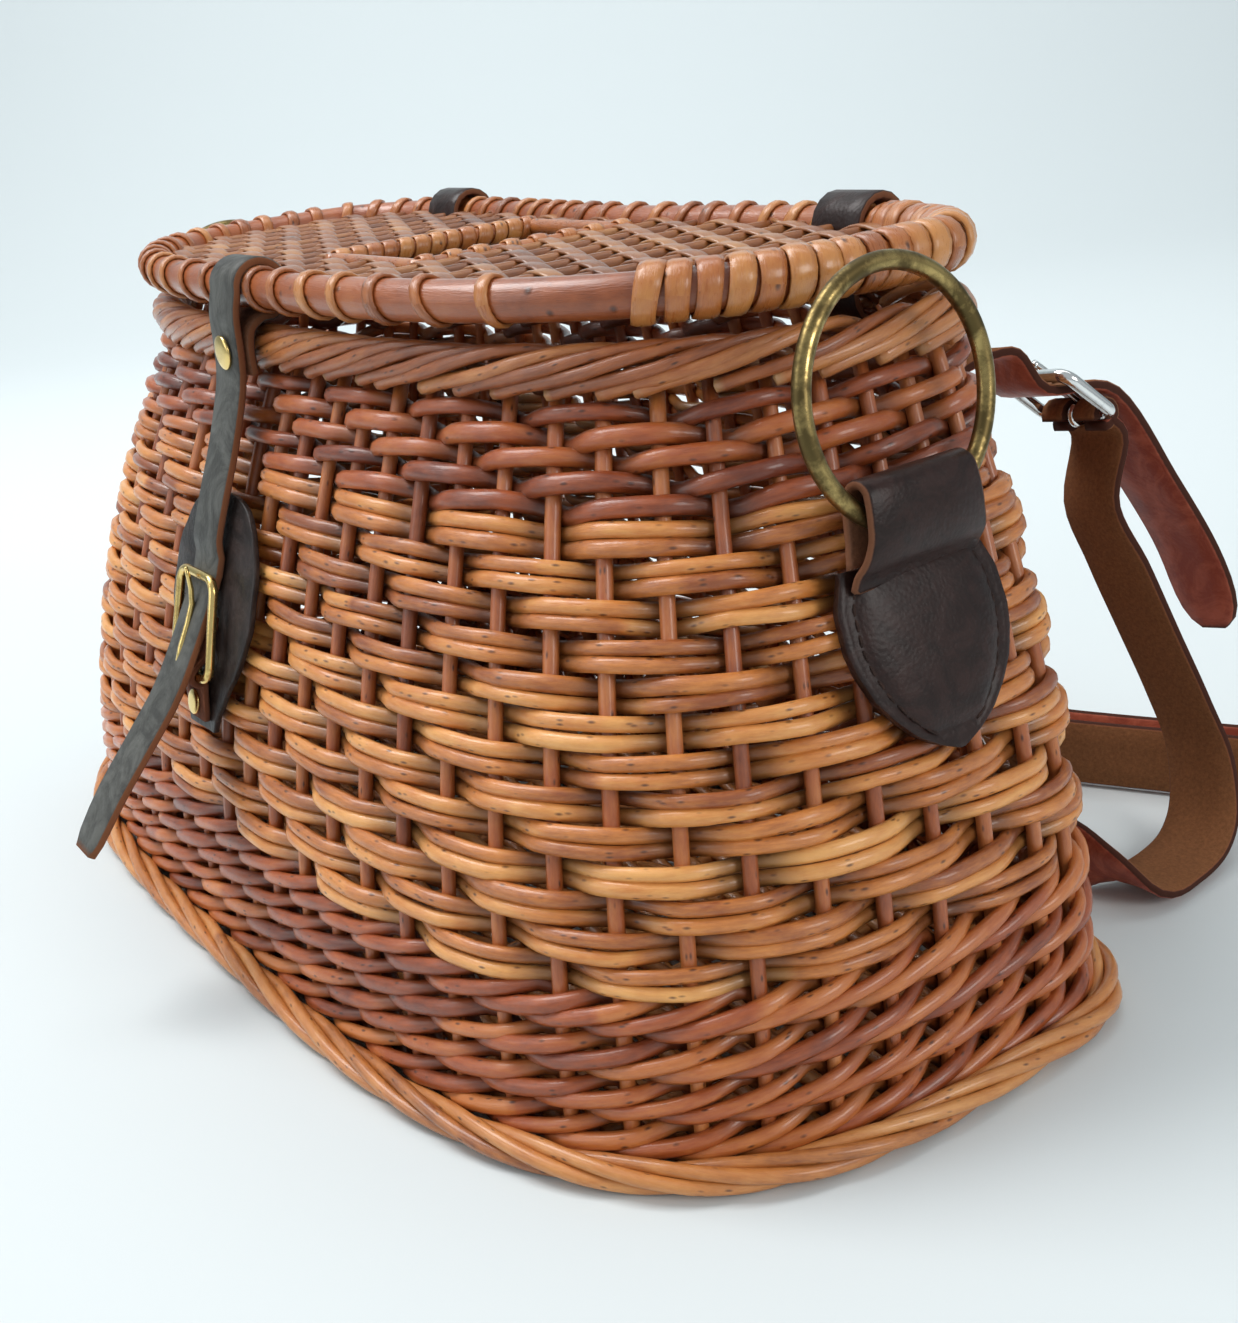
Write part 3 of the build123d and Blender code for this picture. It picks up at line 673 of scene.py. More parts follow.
class Effect(Graph):
    """A shared node group in the making."""

    def __init__(self, name: str, outs: tuple[str, ...], place: str, **numbers: float) -> None:
        """Makes the group with its sockets.

        Args:
            name: the group's name.
            outs: the names of its outputs.
            place: the name of the input that takes a place.
            numbers: the other inputs, with their usual values.
        """
        super().__init__(bpy.data.node_groups.new(name, "ShaderNodeTree"))
        sockets = self.tree.interface
        sockets.new_socket(place, in_out="INPUT", socket_type="NodeSocketVector")
        for key, value in numbers.items():
            sockets.new_socket(key, in_out="INPUT", socket_type="NodeSocketFloat").default_value = value
        for key in outs:
            sockets.new_socket(key, in_out="OUTPUT", socket_type="NodeSocketFloat")
        self.source = self.tree.nodes.new("NodeGroupInput").outputs
        self.sink = self.tree.nodes.new("NodeGroupOutput").inputs

    def give(self, **values: Socket) -> bpy.types.NodeTree:
        """Ends the group.

        Args:
            values: a source for each output.
        Returns:
            The group.
        """
        for name, value in values.items():
            self.put(self.sink[name], value)
        return self.tree


class Recipe(Graph):
    """A material while it is being mixed."""

    def __init__(self, name: str) -> None:
        """Makes a material with its shader, and keeps it in MATERIALS.

        Args:
            name: the finish that it shows.
        """
        self.material = bpy.data.materials.new(name)
        self.material.use_nodes = True
        super().__init__(self.material.node_tree)
        MATERIALS[name] = self.material

    def shade(self, **values: Socket | float | tuple[float, ...]) -> None:
        """Sets or links the shader's inputs, whose names have underscores here for spaces."""
        for name, value in values.items():
            self.put(self.tree.nodes["Principled BSDF"].inputs[name.replace("_", " ")], value)


def wood_grain() -> bpy.types.NodeTree:
    """Streaks, blotches and small knots that follow a rod.

    Returns:
        The group: from Along (the rod's UV), Stretch and Knots to Streak, Blotch, Knot and Height.
    """
    group = Effect("rod_grain", ("Streak", "Blotch", "Knot", "Height"), "Along", Stretch=1.0, Knots=0.5)
    uv = group.node("SeparateXYZ", {0: group.source["Along"]}).outputs
    turn = group.math("MULTIPLY", uv["Y"], 2 * math.pi)
    slow = group.math("MULTIPLY", uv["X"], group.source["Stretch"])
    round_rod = {0: slow, 1: group.math("COSINE", turn), 2: group.math("SINE", turn)}
    place = group.node("CombineXYZ", round_rod).outputs[0]
    streak = group.noise(place, 2.6, 5.0, Roughness=0.62)
    blotch = group.noise(group.stretch(place, 0.9, 0.35), 1.2, 3.0, Roughness=0.55)
    cells = {"Vector": group.stretch(place, 1.9, 0.9), "Scale": 1.15, "Randomness": 1.0}
    cell = group.node("TexVoronoi", cells).outputs
    spot = group.spread(cell["Distance"], 0.25, 0.08)
    chance = group.node("SeparateColor", {0: cell["Color"]}).outputs[0]
    rare = group.math("GREATER_THAN", group.source["Knots"], chance)
    knot = group.math("MULTIPLY", spot, rare)
    fine = group.noise(group.stretch(place, 1.4, 5.0), 3.0, 4.0)
    rise = group.math("MULTIPLY_ADD", knot, 0.9, fine)
    return group.give(Streak=streak, Blotch=blotch, Knot=knot, Height=rise)


def leather_grain() -> bpy.types.NodeTree:
    """Pebbles, creases and mottling of leather.

    Returns:
        The group: from Place and Size to Pebble, Crease and Mottle.
    """
    group = Effect("leather_grain", ("Pebble", "Crease", "Mottle"), "Place", Size=900.0)
    place, size = group.source["Place"], group.source["Size"]
    cell = group.node("TexVoronoi", {"Vector": place, "Scale": size}, feature="SMOOTH_F1").outputs[0]
    crease = group.noise(place, group.math("MULTIPLY", size, 0.09), 8.0, Roughness=0.7, Distortion=1.4)
    mottle = group.noise(place, group.math("MULTIPLY", size, 0.035), 4.0)
    return group.give(Pebble=cell, Crease=crease, Mottle=mottle)


@dataclass(frozen=True)
class RodFinish:
    """Varnished willow or cane."""

    name: str
    dark: Colour
    middle: Colour
    light: Colour
    roughness: float = 0.36
    knots: float = 0.5
    # shade: how far the painted shade darkens a rod where it is tucked away.
    shade: float = 0.62
    varnish: float = 0.55
    knot_darkness: float = 0.22
    cut_wood: Colour = (0.62, 0.36, 0.16)

    def mix(self, wood: bpy.types.NodeTree) -> None:
        """Mixes the material.

        Args:
            wood: the wood grain.
        """
        recipe = Recipe(self.name)
        uv = recipe.node("UVMap", uv_map="UVMap").outputs[0]
        ways = {"Along": uv, "Stretch": 1.0, "Knots": self.knots}
        grain = recipe.node("Group", ways, node_tree=wood).outputs
        zone = recipe.noise(recipe.node("TexCoord").outputs["Object"], 14.0, 2.0)
        level = recipe.mark("tone")
        for source, weight in ((grain["Streak"], 0.55), (grain["Blotch"], 0.75), (zone, 0.55)):
            level = recipe.math("MULTIPLY_ADD", source, weight, level)
        level = recipe.math("ADD", level, -0.925, clamp=True)
        colour = recipe.colours(level, (0.08, self.dark), (0.48, self.middle), (0.95, self.light))
        # Painted shade: the colour darkens where the rod is tucked behind a stake or under other cane.
        painted_shade_factor = recipe.math("MULTIPLY_ADD", recipe.mark("deep"), -self.shade, 1.0)
        colour = recipe.blend(1.0, colour, painted_shade_factor, "MULTIPLY")
        spot = tuple(self.knot_darkness * part for part in self.dark)
        colour = recipe.blend(recipe.math("MULTIPLY", grain["Knot"], 0.8), colour, (*spot, 1.0))
        colour = recipe.blend(recipe.mark("cut"), colour, (*self.cut_wood, 1.0))
        rough = recipe.spread(grain["Streak"], 0.2, 0.8, self.roughness - 0.06, self.roughness + 0.14)
        recipe.shade(Base_Color=colour, Roughness=rough, Normal=recipe.bump(grain["Height"], 0.35, 0.0006),
                     Coat_Weight=self.varnish, Coat_Roughness=0.2, Specular_IOR_Level=0.5)


@dataclass(frozen=True)
class LeatherFinish:
    """Leather: a coloured grain side, raw edges and a rough flesh side, chosen by the marks on the mesh."""

    name: str
    grain_dark: Colour
    grain_light: Colour
    edge: Colour
    flesh: Colour
    roughness: float
    coat: float = 0.0
    size: float = 900.0
    relief: float = 0.5
    crease: float = 0.5
    fuzz_size: float = 900.0
    raw_roughness: float = 0.92

    def mix(self, hide: bpy.types.NodeTree) -> None:
        """Mixes the material.

        Args:
            hide: the leather grain.
        """
        recipe = Recipe(self.name)
        place = recipe.node("TexCoord").outputs["Object"]
        grain = recipe.node("Group", {"Place": place, "Size": self.size}, node_tree=hide).outputs
        raw, under = recipe.mark("cut"), recipe.mark("deep")
        level = recipe.math("MULTIPLY_ADD", grain["Mottle"], 0.7, recipe.spread(grain["Crease"], 0.42, 0.6))
        level = recipe.math("MULTIPLY", level, 0.62, clamp=True)
        colour = recipe.colours(level, (0.15, self.grain_dark), (0.85, self.grain_light))
        fuzz = recipe.noise(place, self.fuzz_size, 6.0, Roughness=0.8)
        dim, pale = (tuple(share * part for part in self.flesh) for share in (0.62, 1.25))
        colour = recipe.blend(under, colour, recipe.colours(fuzz, (0.3, dim), (0.7, pale)))
        edging = recipe.spread(recipe.math("MULTIPLY_ADD", fuzz, 0.5, raw), 0.62, 0.92)
        colour = recipe.blend(edging, colour, (*self.edge, 1.0))
        either = recipe.math("MAXIMUM", raw, under)
        dull = recipe.spread(either, 0.0, 1.0, self.roughness, self.raw_roughness)
        rough = recipe.math("MULTIPLY_ADD", grain["Mottle"], 0.18, dull)
        pebbles = recipe.bump(grain["Pebble"], self.relief, 0.0004)
        creases = recipe.bump(grain["Crease"], self.crease, 0.0009, Normal=pebbles)
        recipe.shade(Base_Color=colour, Roughness=rough, Normal=creases, Coat_Roughness=0.3,
                     Coat_Weight=recipe.spread(either, 0.0, 1.0, self.coat, 0.0), Specular_IOR_Level=0.22)


@dataclass(frozen=True)
class MetalFinish:
    """Aged brass or nickel plate."""

    name: str
    bright: Colour
    tarnish: Colour
    roughness: float
    age: float
    size: float = 160.0

    def mix(self) -> None:
        """Mixes the material."""
        recipe = Recipe(self.name)
        place = recipe.node("TexCoord").outputs["Object"]
        cloud = recipe.noise(place, self.size, 6.0, Roughness=0.65)
        stain = recipe.spread(cloud, 0.62 - 0.3 * self.age, 0.8 - 0.3 * self.age)
        colour = recipe.colours(stain, (0.0, self.bright), (1.0, self.tarnish))
        rough = recipe.math("MULTIPLY_ADD", stain, 0.26, self.roughness)
        scratches = recipe.bump(recipe.noise(place, self.size * 9, 3.0), 0.12, 0.0002)
        recipe.shade(Base_Color=colour, Roughness=rough, Normal=scratches, Metallic=1.0)


RODS = (
    RodFinish("golden_willow", (0.29, 0.068, 0.012), (0.62, 0.210, 0.042), (0.84, 0.40, 0.115), knots=0.75),
    RodFinish("red_willow", (0.16, 0.026, 0.006), (0.39, 0.082, 0.016), (0.60, 0.19, 0.042)),
    RodFinish("stake_willow", (0.18, 0.036, 0.009), (0.39, 0.096, 0.021), (0.58, 0.20, 0.05), knots=0.3,
              shade=0.3),
    RodFinish("border_willow", (0.14, 0.032, 0.009), (0.35, 0.095, 0.022), (0.56, 0.215, 0.060)),
    RodFinish("foot_willow", (0.25, 0.068, 0.014), (0.54, 0.190, 0.042), (0.72, 0.33, 0.100)),
    RodFinish("flat_cane", (0.115, 0.029, 0.006), (0.28, 0.088, 0.018), (0.46, 0.20, 0.056), 0.38, 0.25),
    RodFinish("binding_cane", (0.17, 0.040, 0.008), (0.41, 0.120, 0.024), (0.60, 0.25, 0.066), 0.26, 0.3),
    RodFinish("rim_cane", (0.16, 0.034, 0.009), (0.33, 0.082, 0.020), (0.45, 0.14, 0.038), 0.3, 0.4),
)
LEATHERS = (
    LeatherFinish("dark_leather", (0.014, 0.0055, 0.0042), (0.030, 0.012, 0.0095), (0.17, 0.068, 0.034),
                  (0.17, 0.07, 0.035), roughness=0.30, coat=0.10, size=1100.0, relief=0.25, crease=0.25),
    LeatherFinish("crackled_leather", (0.008, 0.005, 0.0045), (0.034, 0.021, 0.018), (0.11, 0.04, 0.02),
                  (0.17, 0.07, 0.035), roughness=0.34, coat=0.2, size=700.0, crease=1.0),
    LeatherFinish("latch_leather", (0.046, 0.045, 0.041), (0.108, 0.107, 0.097), (0.20, 0.075, 0.034),
                  (0.22, 0.09, 0.045), roughness=0.46, coat=0.05, size=800.0, relief=0.3, crease=0.35),
    LeatherFinish("flesh_leather", (0.16, 0.055, 0.03), (0.28, 0.10, 0.055), (0.12, 0.04, 0.02),
                  (0.20, 0.08, 0.04), roughness=0.8),
    LeatherFinish("strap_leather", (0.25, 0.050, 0.028), (0.41, 0.105, 0.058), (0.055, 0.018, 0.011),
                  (0.21, 0.085, 0.034), roughness=0.40, coat=0.1, size=800.0, relief=0.22, crease=0.22),
    LeatherFinish("thread", (0.020, 0.010, 0.008), (0.045, 0.022, 0.016), (0.03, 0.015, 0.01),
                  (0.03, 0.015, 0.01), roughness=0.6, size=2500.0),
)
METALS = (
    MetalFinish("aged_brass", (0.46, 0.335, 0.13), (0.12, 0.086, 0.034), roughness=0.2, age=0.85, size=130.0),
    MetalFinish("bright_brass", (0.80, 0.58, 0.22), (0.40, 0.26, 0.09), roughness=0.2, age=0.35, size=200.0),
    MetalFinish("nickel_plate", (0.80, 0.80, 0.79), (0.50, 0.50, 0.48), roughness=0.14, age=0.1),
)


def mix_finishes() -> None:
    """Mixes every finish on the creel, once."""
    wood, hide = wood_grain(), leather_grain()
    for rod in RODS:
        rod.mix(wood)
    for leather in LEATHERS:
        leather.mix(hide)
    for metal in METALS:
        metal.mix()


# ---------------------------------------------------------------- the woven body


def patchwork(count: int, spread: float, shortest: int, longest: int) -> Array:
    """Values round zero that stay the same for a while and then jump, as from one rod to the next.

    Args:
        count: how many values.
        spread: how far they stray from zero.
        shortest: the fewest in one stretch.
        longest: the most in one stretch.
    Returns:
        The values.
    """
    values: list[float] = []
    while len(values) < count:
        values += [random.uniform(-spread, spread)] * random.randint(shortest, longest)
    return np.array(values[:count])


def wander(count: int, reach: float) -> Array:
    """A slow random drift round zero.

    Args:
        count: how many values.
        reach: about how far it drifts.
    Returns:
        The values, ending where they start.
    """
    turn = np.arange(count) / count * 2 * math.pi
    waves = [(number, random.uniform(0, 2 * math.pi)) for number in (3, 7, 13, 23, 37)]
    return reach * sum(np.sin(number * turn + start) / math.sqrt(number / 3) for number, start in waves) * 0.5


def ripple(count: int, reach: float, every: int) -> Array:
    """Small random rises and falls, joined by straight stretches.

    Args:
        count: how many values.
        reach: how far they stray from zero.
        every: how many values lie between two turns.
    Returns:
        The values, ending where they start.
    """
    turns = np.array([random.uniform(-reach, reach) for _ in range(count // every)])
    return np.interp(np.arange(count) / every, np.arange(len(turns) + 1), np.append(turns, turns[0]))


@dataclass(frozen=True)
class Band:
    """One band of the wall: its heights, its rows, and the radius and climb of its rods."""

    low: float
    high: float
    rows: int
    radius: float
    rise: float = 0.0

    @property
    def pitch(self) -> float:
        """The height of one row."""
        return (self.high - self.low) / self.rows


@dataclass
class WovenWall:
    """The stakes and the rods woven round them, each in front of two stakes and behind one."""

    wall: Wall
    stakes: int = 60
    stake_depth: float = 5.0
    stake_radius: float = 1.9
    stake_low: float = 2.0
    stake_high: float = 172.0
    span: int = 3
    steps: int = 5
    swings: tuple[float, float, float] = (0.72, 3.28, 0.76)
    flatness: float = 0.88
    golden: Band = Band(46.0, 146.0, 13, 2.02)
    upper: Band = Band(146.0, 168.5, 5, 2.25, 1.1)
    lower: Band = Band(3.2, 46.5, 4, 2.2, 4.7)

    def run(self, strands: Strands, band: Band, row: int, shift: int, tone: float, lift: float = 0.0) -> None:
        """Adds one rod all round.

        Args:
            strands: the mesh in the making.
            band: the band that it belongs to.
            row: its row in the band.
            shift: how many stakes on its pattern starts.
            tone: its shade, 0 dark to 1 light.
            lift: how far above the middle of the row it lies.
        """
        count = self.stakes * self.steps
        stake = np.arange(count) / self.steps
        passed = (stake + shift) % self.span
        turn = 2 * math.pi * passed / self.span
        middle, first, second = self.swings
        swing = middle - first * np.cos(turn) - second * np.cos(2 * turn)
        climb = band.rise * np.interp(passed / self.span, [0.0, 0.09, 0.91, 1.0], [0.0, -1.0, 1.0, 0.0])
        thick = band.radius * (1.0 + patchwork(count, 0.12, 18, 60))
        up = climb + lift + wander(count, 0.2) + ripple(count, 0.45, self.steps)
        level = np.full(count, band.low + (row + 0.5) * band.pitch)
        path, normals = self.wall.at(stake / self.stakes, level, swing - self.stake_depth, up)
        shades = tone + patchwork(count, 0.30, 20, 70) + wander(count, 0.09)
        # Painted shade where the rod swings in behind a stake.
        deep = np.clip((1.6 - swing) / 3.6, 0.0, 1.0)
        strands.add(path, normals, thick, thick * self.flatness, closed=True, tone=shades, deep=deep)

    def pairs(self) -> None:
        """Weaves the golden rows of paired rods."""
        strands = Strands()
        half_gap = 0.25 * self.golden.pitch
        for row in range(self.golden.rows):
            bias = 0.12 if row in (3, 7) else -0.05 * (row % 3)
            for lift in (-half_gap, half_gap):
                self.run(strands, self.golden, row, row, 0.5 + bias, lift)
        strands.build("body_weave", "golden_willow", "basket", "willow", "body_wall")

    def uprights(self) -> None:
        """Stands the stakes in the wall."""
        strands = Strands()
        heights = np.linspace(self.stake_low, self.stake_high, 30)
        for number in range(self.stakes):
            share = number / self.stakes + random.uniform(-0.0006, 0.0006)
            path, normals = self.wall.at(np.full(len(heights), share), heights, -self.stake_depth)
            radius = self.stake_radius * random.uniform(0.92, 1.08)
            strands.add(path, normals, radius, radius, tone=random.uniform(0.25, 0.75))
        strands.build("stakes", "stake_willow", "basket", "willow_dark")

    def upper_band(self) -> None:
        """Weaves the band under the mouth: thick single rods, each a stake on from the one below."""
        strands = Strands()
        for rod in range(self.upper.rows):
            self.run(strands, self.upper, rod, rod, random.uniform(0.3, 0.7))
        strands.build("upper_band", "red_willow", "basket", "willow_dark", "upper_wale")

    def lower_band(self) -> None:
        """Weaves the band above the foot: three rods a row that climb over each other."""
        strands = Strands()
        for row in range(self.lower.rows):
            for rod in range(self.span):
                tone = 0.25 + 0.45 * random.random() + (0.2 if row == 0 else 0.0)
                self.run(strands, self.lower, row, rod, tone)
        strands.build("lower_band", "red_willow", "basket", "willow_dark", "lower_wale")


@dataclass
class Borders:
    """The plaited edge of the mouth and the rope of rods round the foot."""

    wall: Wall
    stakes: int = 60
    steps: int = 6
    mouth_z: float = 174.0
    mouth_inset: float = 3.5
    mouth_turn: float = 4.1
    mouth_rod: float = 1.85
    span: float = 5.6
    foot_z: float = 4.5
    foot_out: float = 3.0
    foot_turn: float = 2.55
    foot_rod: float = 1.85
    foot_rods: int = 4
    foot_turns: int = 10
    foot_steps: int = 30

    def mouth(self) -> None:
        """Plaits the top edge: each stake bends over, winds over its neighbours and ends low inside."""
        strands = Strands()
        count = self.stakes * self.steps
        line, out = self.wall.outline(self.wall.height).grown(-self.mouth_inset).line(self.mouth_z, count)
        for rod in range(self.stakes):
            length = int((self.span + random.uniform(-0.35, 0.45)) * self.steps)
            share = np.linspace(0.0, 1.0, length)
            index = (rod * self.steps + np.arange(length) + random.randint(-1, 1)) % count
            winding = np.interp(share, [0.0, 0.35, 0.7, 1.0], [-64.0, 5.0, 95.0, 205.0])
            angle = np.radians(winding + random.uniform(-7, 7))[:, None]
            reach = self.mouth_turn + np.exp(-((share / 0.07) ** 2)) + random.uniform(-0.1, 0.3)
            normals = unit(np.cos(angle) * out[index] + np.sin(angle) * UP)
            thick = self.mouth_rod * random.uniform(0.9, 1.05) * (1.0 - 0.22 * share)
            # Painted shade on the rod ends that reach down inside the mouth.
            strands.add(line[index] + normals * reach[:, None], normals, thick, thick,
                        tone=random.uniform(0.3, 0.85), deep=np.clip(share * 3 - 2.2, 0, 0.8),
                        ends=(random.choice([0.25, 0.6, 1.0]), 0.4))
        strands.build("mouth_border", "border_willow", "basket", "willow_border", "top_border")

    def foot(self) -> None:
        """Lays the rods that wind round the foot."""
        strands = Strands()
        count = self.foot_turns * self.foot_steps
        line, out = self.wall.outline(self.foot_z).grown(self.foot_out).line(self.foot_z, count)
        for rod in range(self.foot_rods):
            turns = self.foot_turns * np.arange(count) / count + rod / self.foot_rods
            angle = (-2 * math.pi * turns)[:, None]
            normals = unit(np.cos(angle) * out + np.sin(angle) * UP)
            thick = self.foot_rod * (1.0 + patchwork(count, 0.05, 40, 90))
            tone = 0.5 + patchwork(count, 0.25, 30, 90)
            strands.add(line + normals * self.foot_turn, normals, thick, thick, closed=True, tone=tone)
        strands.build("foot_border_rods", "foot_willow", "basket", "willow_border", "foot_border")


@dataclass
class Bottom:
    """The woven bottom: sticks from front to back, and rods woven over and under them."""

    wall: Wall
    sticks: int = 17
    stick_gap: float = 22.0
    stick: tuple[float, float] = (2.3, 1.9)
    rod_gap: float = 4.5
    rod: tuple[float, float] = (2.15, 1.6)
    wave: float = 2.05
    middle_z: float = 4.2
    inset: float = 7.6

    def build(self) -> None:
        """Weaves the bottom."""
        strands = Strands()
        ring = self.wall.outline(0.0).grown(-self.inset)
        for x in (np.arange(self.sticks) - self.sticks // 2) * self.stick_gap:
            y = np.linspace(1.0 - ring.front_at(x), ring.back_at(x) - 1.0, 12)
            strands.add(points_of(x, y, self.middle_z), UP, *self.stick, tone=random.uniform(0.2, 0.6))
        for number, y in enumerate(np.arange(3.0 - ring.front, ring.back - 3.0, self.rod_gap)):
            half = float(ring.end_at(y)) - 1.0
            x = np.linspace(-half, half, max(12, int(half / 2.2)))
            wave = (1.0 if number % 2 else -1.0) * np.cos(math.pi * x / self.stick_gap)
            path = points_of(x, y, self.middle_z + self.wave * wave)
            strands.add(path, UP, *self.rod, ring_section(6), tone=0.45 + patchwork(len(x), 0.2, 20, 60))
        strands.build("bottom_weave", "foot_willow", "basket", "willow_base", "base_panel")


# ---------------------------------------------------------------- the lid


@dataclass
class Lid:
    """The lid: a thick rim, ribs, flat cane woven over them, and the bound frame of the fish slot."""

    outer: Outline = Outline(157.0, 92.0, 52.0, 2.6, 3.3, 12.0)
    z: float = 188.95
    rim_radius: float = 5.5
    core: float = 4.8
    core_points: int = 360
    wrap_pitch: float = 6.3
    loop_pitch: float = 16.5
    close_loops: float = 0.68
    front_line: float = -20.0
    loops_from: float = -120.0
    bare_from: float = 115.0
    dense_from: float = 132.0
    back_dense_from: float = 110.0
    strap_room: float = 9.5
    ribs_aside: int = 10
    rib_gap: float = 14.0
    rib_radius: float = 1.7
    flat_pitch: float = 6.6
    flat_half: float = 2.5
    flat_thick: float = 0.55
    flat_wave: float = 1.75
    slot_y: float = -14.0
    slot_x: float = 24.5
    slot_half: float = 34.5
    slot_rod: float = 2.5

    def rim(self) -> None:
        """Bends the thick cane of the rim."""
        strands = Strands()
        line, out = self.outer.grown(-self.rim_radius).line(self.z, self.core_points)
        thick = self.core * (1 + wander(self.core_points, 0.012))
        tone = 0.5 + wander(self.core_points, 0.12)
        strands.add(line, out, thick, thick, ring_section(18), closed=True, tone=tone)
        strands.build("rim_cane", "rim_cane", "lid", "rim_cane", "lid_rim")

    def wrap(self, strands: Strands, here: Array, out: Array, crown: float, width: float, slant: float,
             tone: float) -> None:
        """Winds one turn of flat cane round the rim.

        Args:
            strands: the mesh in the making.
            here: the point on the rim's middle line.
            out: the outward direction there.
            crown: how far it bulges on the outside.
            width: half its width.
            slant: how far its top leans along the rim.
            tone: its shade.
        """
        turn = 2 * math.pi * np.arange(16)[:, None] / 16
        normals = np.cos(turn) * out + np.sin(turn) * UP
        reach = self.core + 0.35 + crown * (0.75 + 0.25 * np.cos(turn - 0.6))
        path = here + normals * reach + np.cross(UP, out) * (slant * np.sin(turn))
        half = width * (1.0 + 0.06 * np.sin(2 * turn[:, 0] + tone * 9))
        # Painted shade on the lower part of each turn, under the rim.
        strands.add(path, normals, half, 0.55 + 0.35 * crown, BINDING, closed=True, tone=tone,
                    deep=np.clip(-0.2 - 0.6 * np.sin(turn[:, 0]), 0, 0.5))

    def wraps(self) -> None:
        """Winds single loops along the front of the rim and close bindings round its ends and back."""
        strands = Strands()
        count = 1440
        line, out = self.outer.grown(-self.rim_radius).line(self.z, count)
        length = float(np.linalg.norm(np.roll(line, -1, 0) - line, axis=1).sum())
        place = 0.0
        while place < length - 2.0:
            index = int(place / length * count) % count
            x = line[index, 0]
            front = line[index, 1] < self.front_line
            if front and (self.bare_from <= x < self.dense_from or abs(x) < self.strap_room):
                place += 2.0
            elif x < (self.bare_from if front else self.back_dense_from):
                pitch = self.loop_pitch * (1.0 if front and x > self.loops_from else self.close_loops)
                self.wrap(strands, line[index], out[index], 0.3, random.uniform(1.5, 2.1),
                          random.uniform(-2.5, -1.0), random.uniform(0.3, 0.8))
                place += pitch * random.uniform(0.85, 1.12)
            else:
                self.wrap(strands, line[index], out[index], random.uniform(0.6, 1.05),
                          self.wrap_pitch * random.uniform(0.44, 0.5), random.uniform(0.2, 1.6),
                          random.uniform(0.3, 0.95))
                place += self.wrap_pitch * random.uniform(0.92, 1.08)
        strands.build("rim_bindings", "binding_cane", "lid", "lid_cane")

    def ribs(self) -> None:
        """Lays the ribs from front to back, cut where the slot is."""
        strands = Strands()
        ring = self.outer.grown(-self.rim_radius - 3.0)
        for number in range(-self.ribs_aside, self.ribs_aside + 1):
            x = number * self.rib_gap + (0.4 if number % 2 else -0.3)
            if abs(x) > ring.half_length - 2:
                continue
            front, back = -ring.front_at(x), ring.back_at(x)
            spans = [(front, back)]
            if abs(x) < self.slot_x:
                spans = [(front, self.slot_y - self.slot_half), (self.slot_y + self.slot_half, back)]
            for low, high in spans:
                if high - low >= 6:
                    y = np.linspace(low, high, max(6, int((high - low) / 6)))
                    strands.add(points_of(x, y, self.z), UP, self.rib_radius, self.rib_radius,
                                tone=random.uniform(0.3, 0.7))
        strands.build("lid_ribs", "flat_cane", "lid", "lid_cane")

    def spans_at(self, ring: Outline, y: float) -> list[tuple[float, float]]:
        """Where flat cane can lie at y: outside the slot, and outside the hollow of the back.

        Args:
            ring: the outline that the cane ends at.
            y: the place of the row.
        Returns:
            The start and end of each stretch, in x.
        """
        half = float(ring.end_at(y))
        gap = 0.0
        if abs(y - self.slot_y) < self.slot_half - 1.0:
            gap = self.slot_x
        elif y > 0 and ring.back_at(0.0) < y + 1.0:
            tries = np.arange(0.0, 120.0, 1.0)
            gap = float(tries[np.argmax(ring.back_at(tries) > y + 1.0)]) + 1.0
        return [(-half, -gap), (gap, half)] if gap else [(-half, half)]

    def flats(self) -> None:
        """Weaves flat cane over and under the ribs."""
        strands = Strands()
        ring = self.outer.grown(-self.rim_radius - 2.0)
        for number, y in enumerate(np.arange(3.2 - ring.front, ring.back - 2.0, self.flat_pitch)):
            for low, high in self.spans_at(ring, y):
                if high - low < 10:
                    continue
                x = np.linspace(low, high, max(8, int((high - low) / 2.8)))
                wave = (1.0 if number % 2 else -1.0) * np.cos(math.pi * x / self.rib_gap)
                lift = self.flat_wave * np.sign(wave) * np.abs(wave) ** 0.7
                path = points_of(x, y + wander(len(x), 0.28), self.z + lift)
                tone = 0.52 + random.uniform(-0.25, 0.25) + patchwork(len(x), 0.08, 12, 30)
                # Painted shade where the cane dips below the ribs.
                strands.add(path, UP, self.flat_half * random.uniform(0.88, 1.05), self.flat_thick, FLAT_CANE,
                            tone=tone, deep=np.clip(-wave * 0.9, 0.0, 0.8))
        strands.build("lid_weave", "flat_cane", "lid", "lid_cane", "lid_panel")

    def slot(self) -> None:
        """Frames the slot with thick rods and binds its long sides."""
        strands = Strands()
        section, rod = ring_section(12), self.slot_rod
        low, high = self.slot_y - self.slot_half, self.slot_y + self.slot_half
        for x in (-self.slot_x, self.slot_x):
            path = points_of(x, np.linspace(low - 2, high + 2, 20), self.z)
            strands.add(path, UP, rod, rod, section, tone=0.45)
        for y in (low, high):
            path = points_of(np.linspace(-self.slot_x - 3, self.slot_x + 3, 14), y, self.z)
            strands.add(path, UP, rod, rod, section, tone=0.5)
        turn = 2 * math.pi * np.arange(14) / 14
        normals = points_of(np.cos(turn), 0.0, np.sin(turn))
        for x, pitch in ((-self.slot_x, 5.6), (self.slot_x, 9.5)):
            y = low + 1.5
            while y < high - 1.0:
                lean = random.uniform(0.4, 1.4) * np.sin(turn)
                path = np.array([x, y, self.z]) + normals * (rod + 0.45) + points_of(0.0, lean, 0.0)
                strands.add(path, normals, random.uniform(2.1, 2.6), 0.5, BINDING, closed=True,
                            tone=random.uniform(0.45, 0.9))
                y += pitch * random.uniform(0.92, 1.06)
        strands.build("slot_binding", "binding_cane", "lid", "rim_cane", "slot_frame")


# ---------------------------------------------------------------- leather and metal


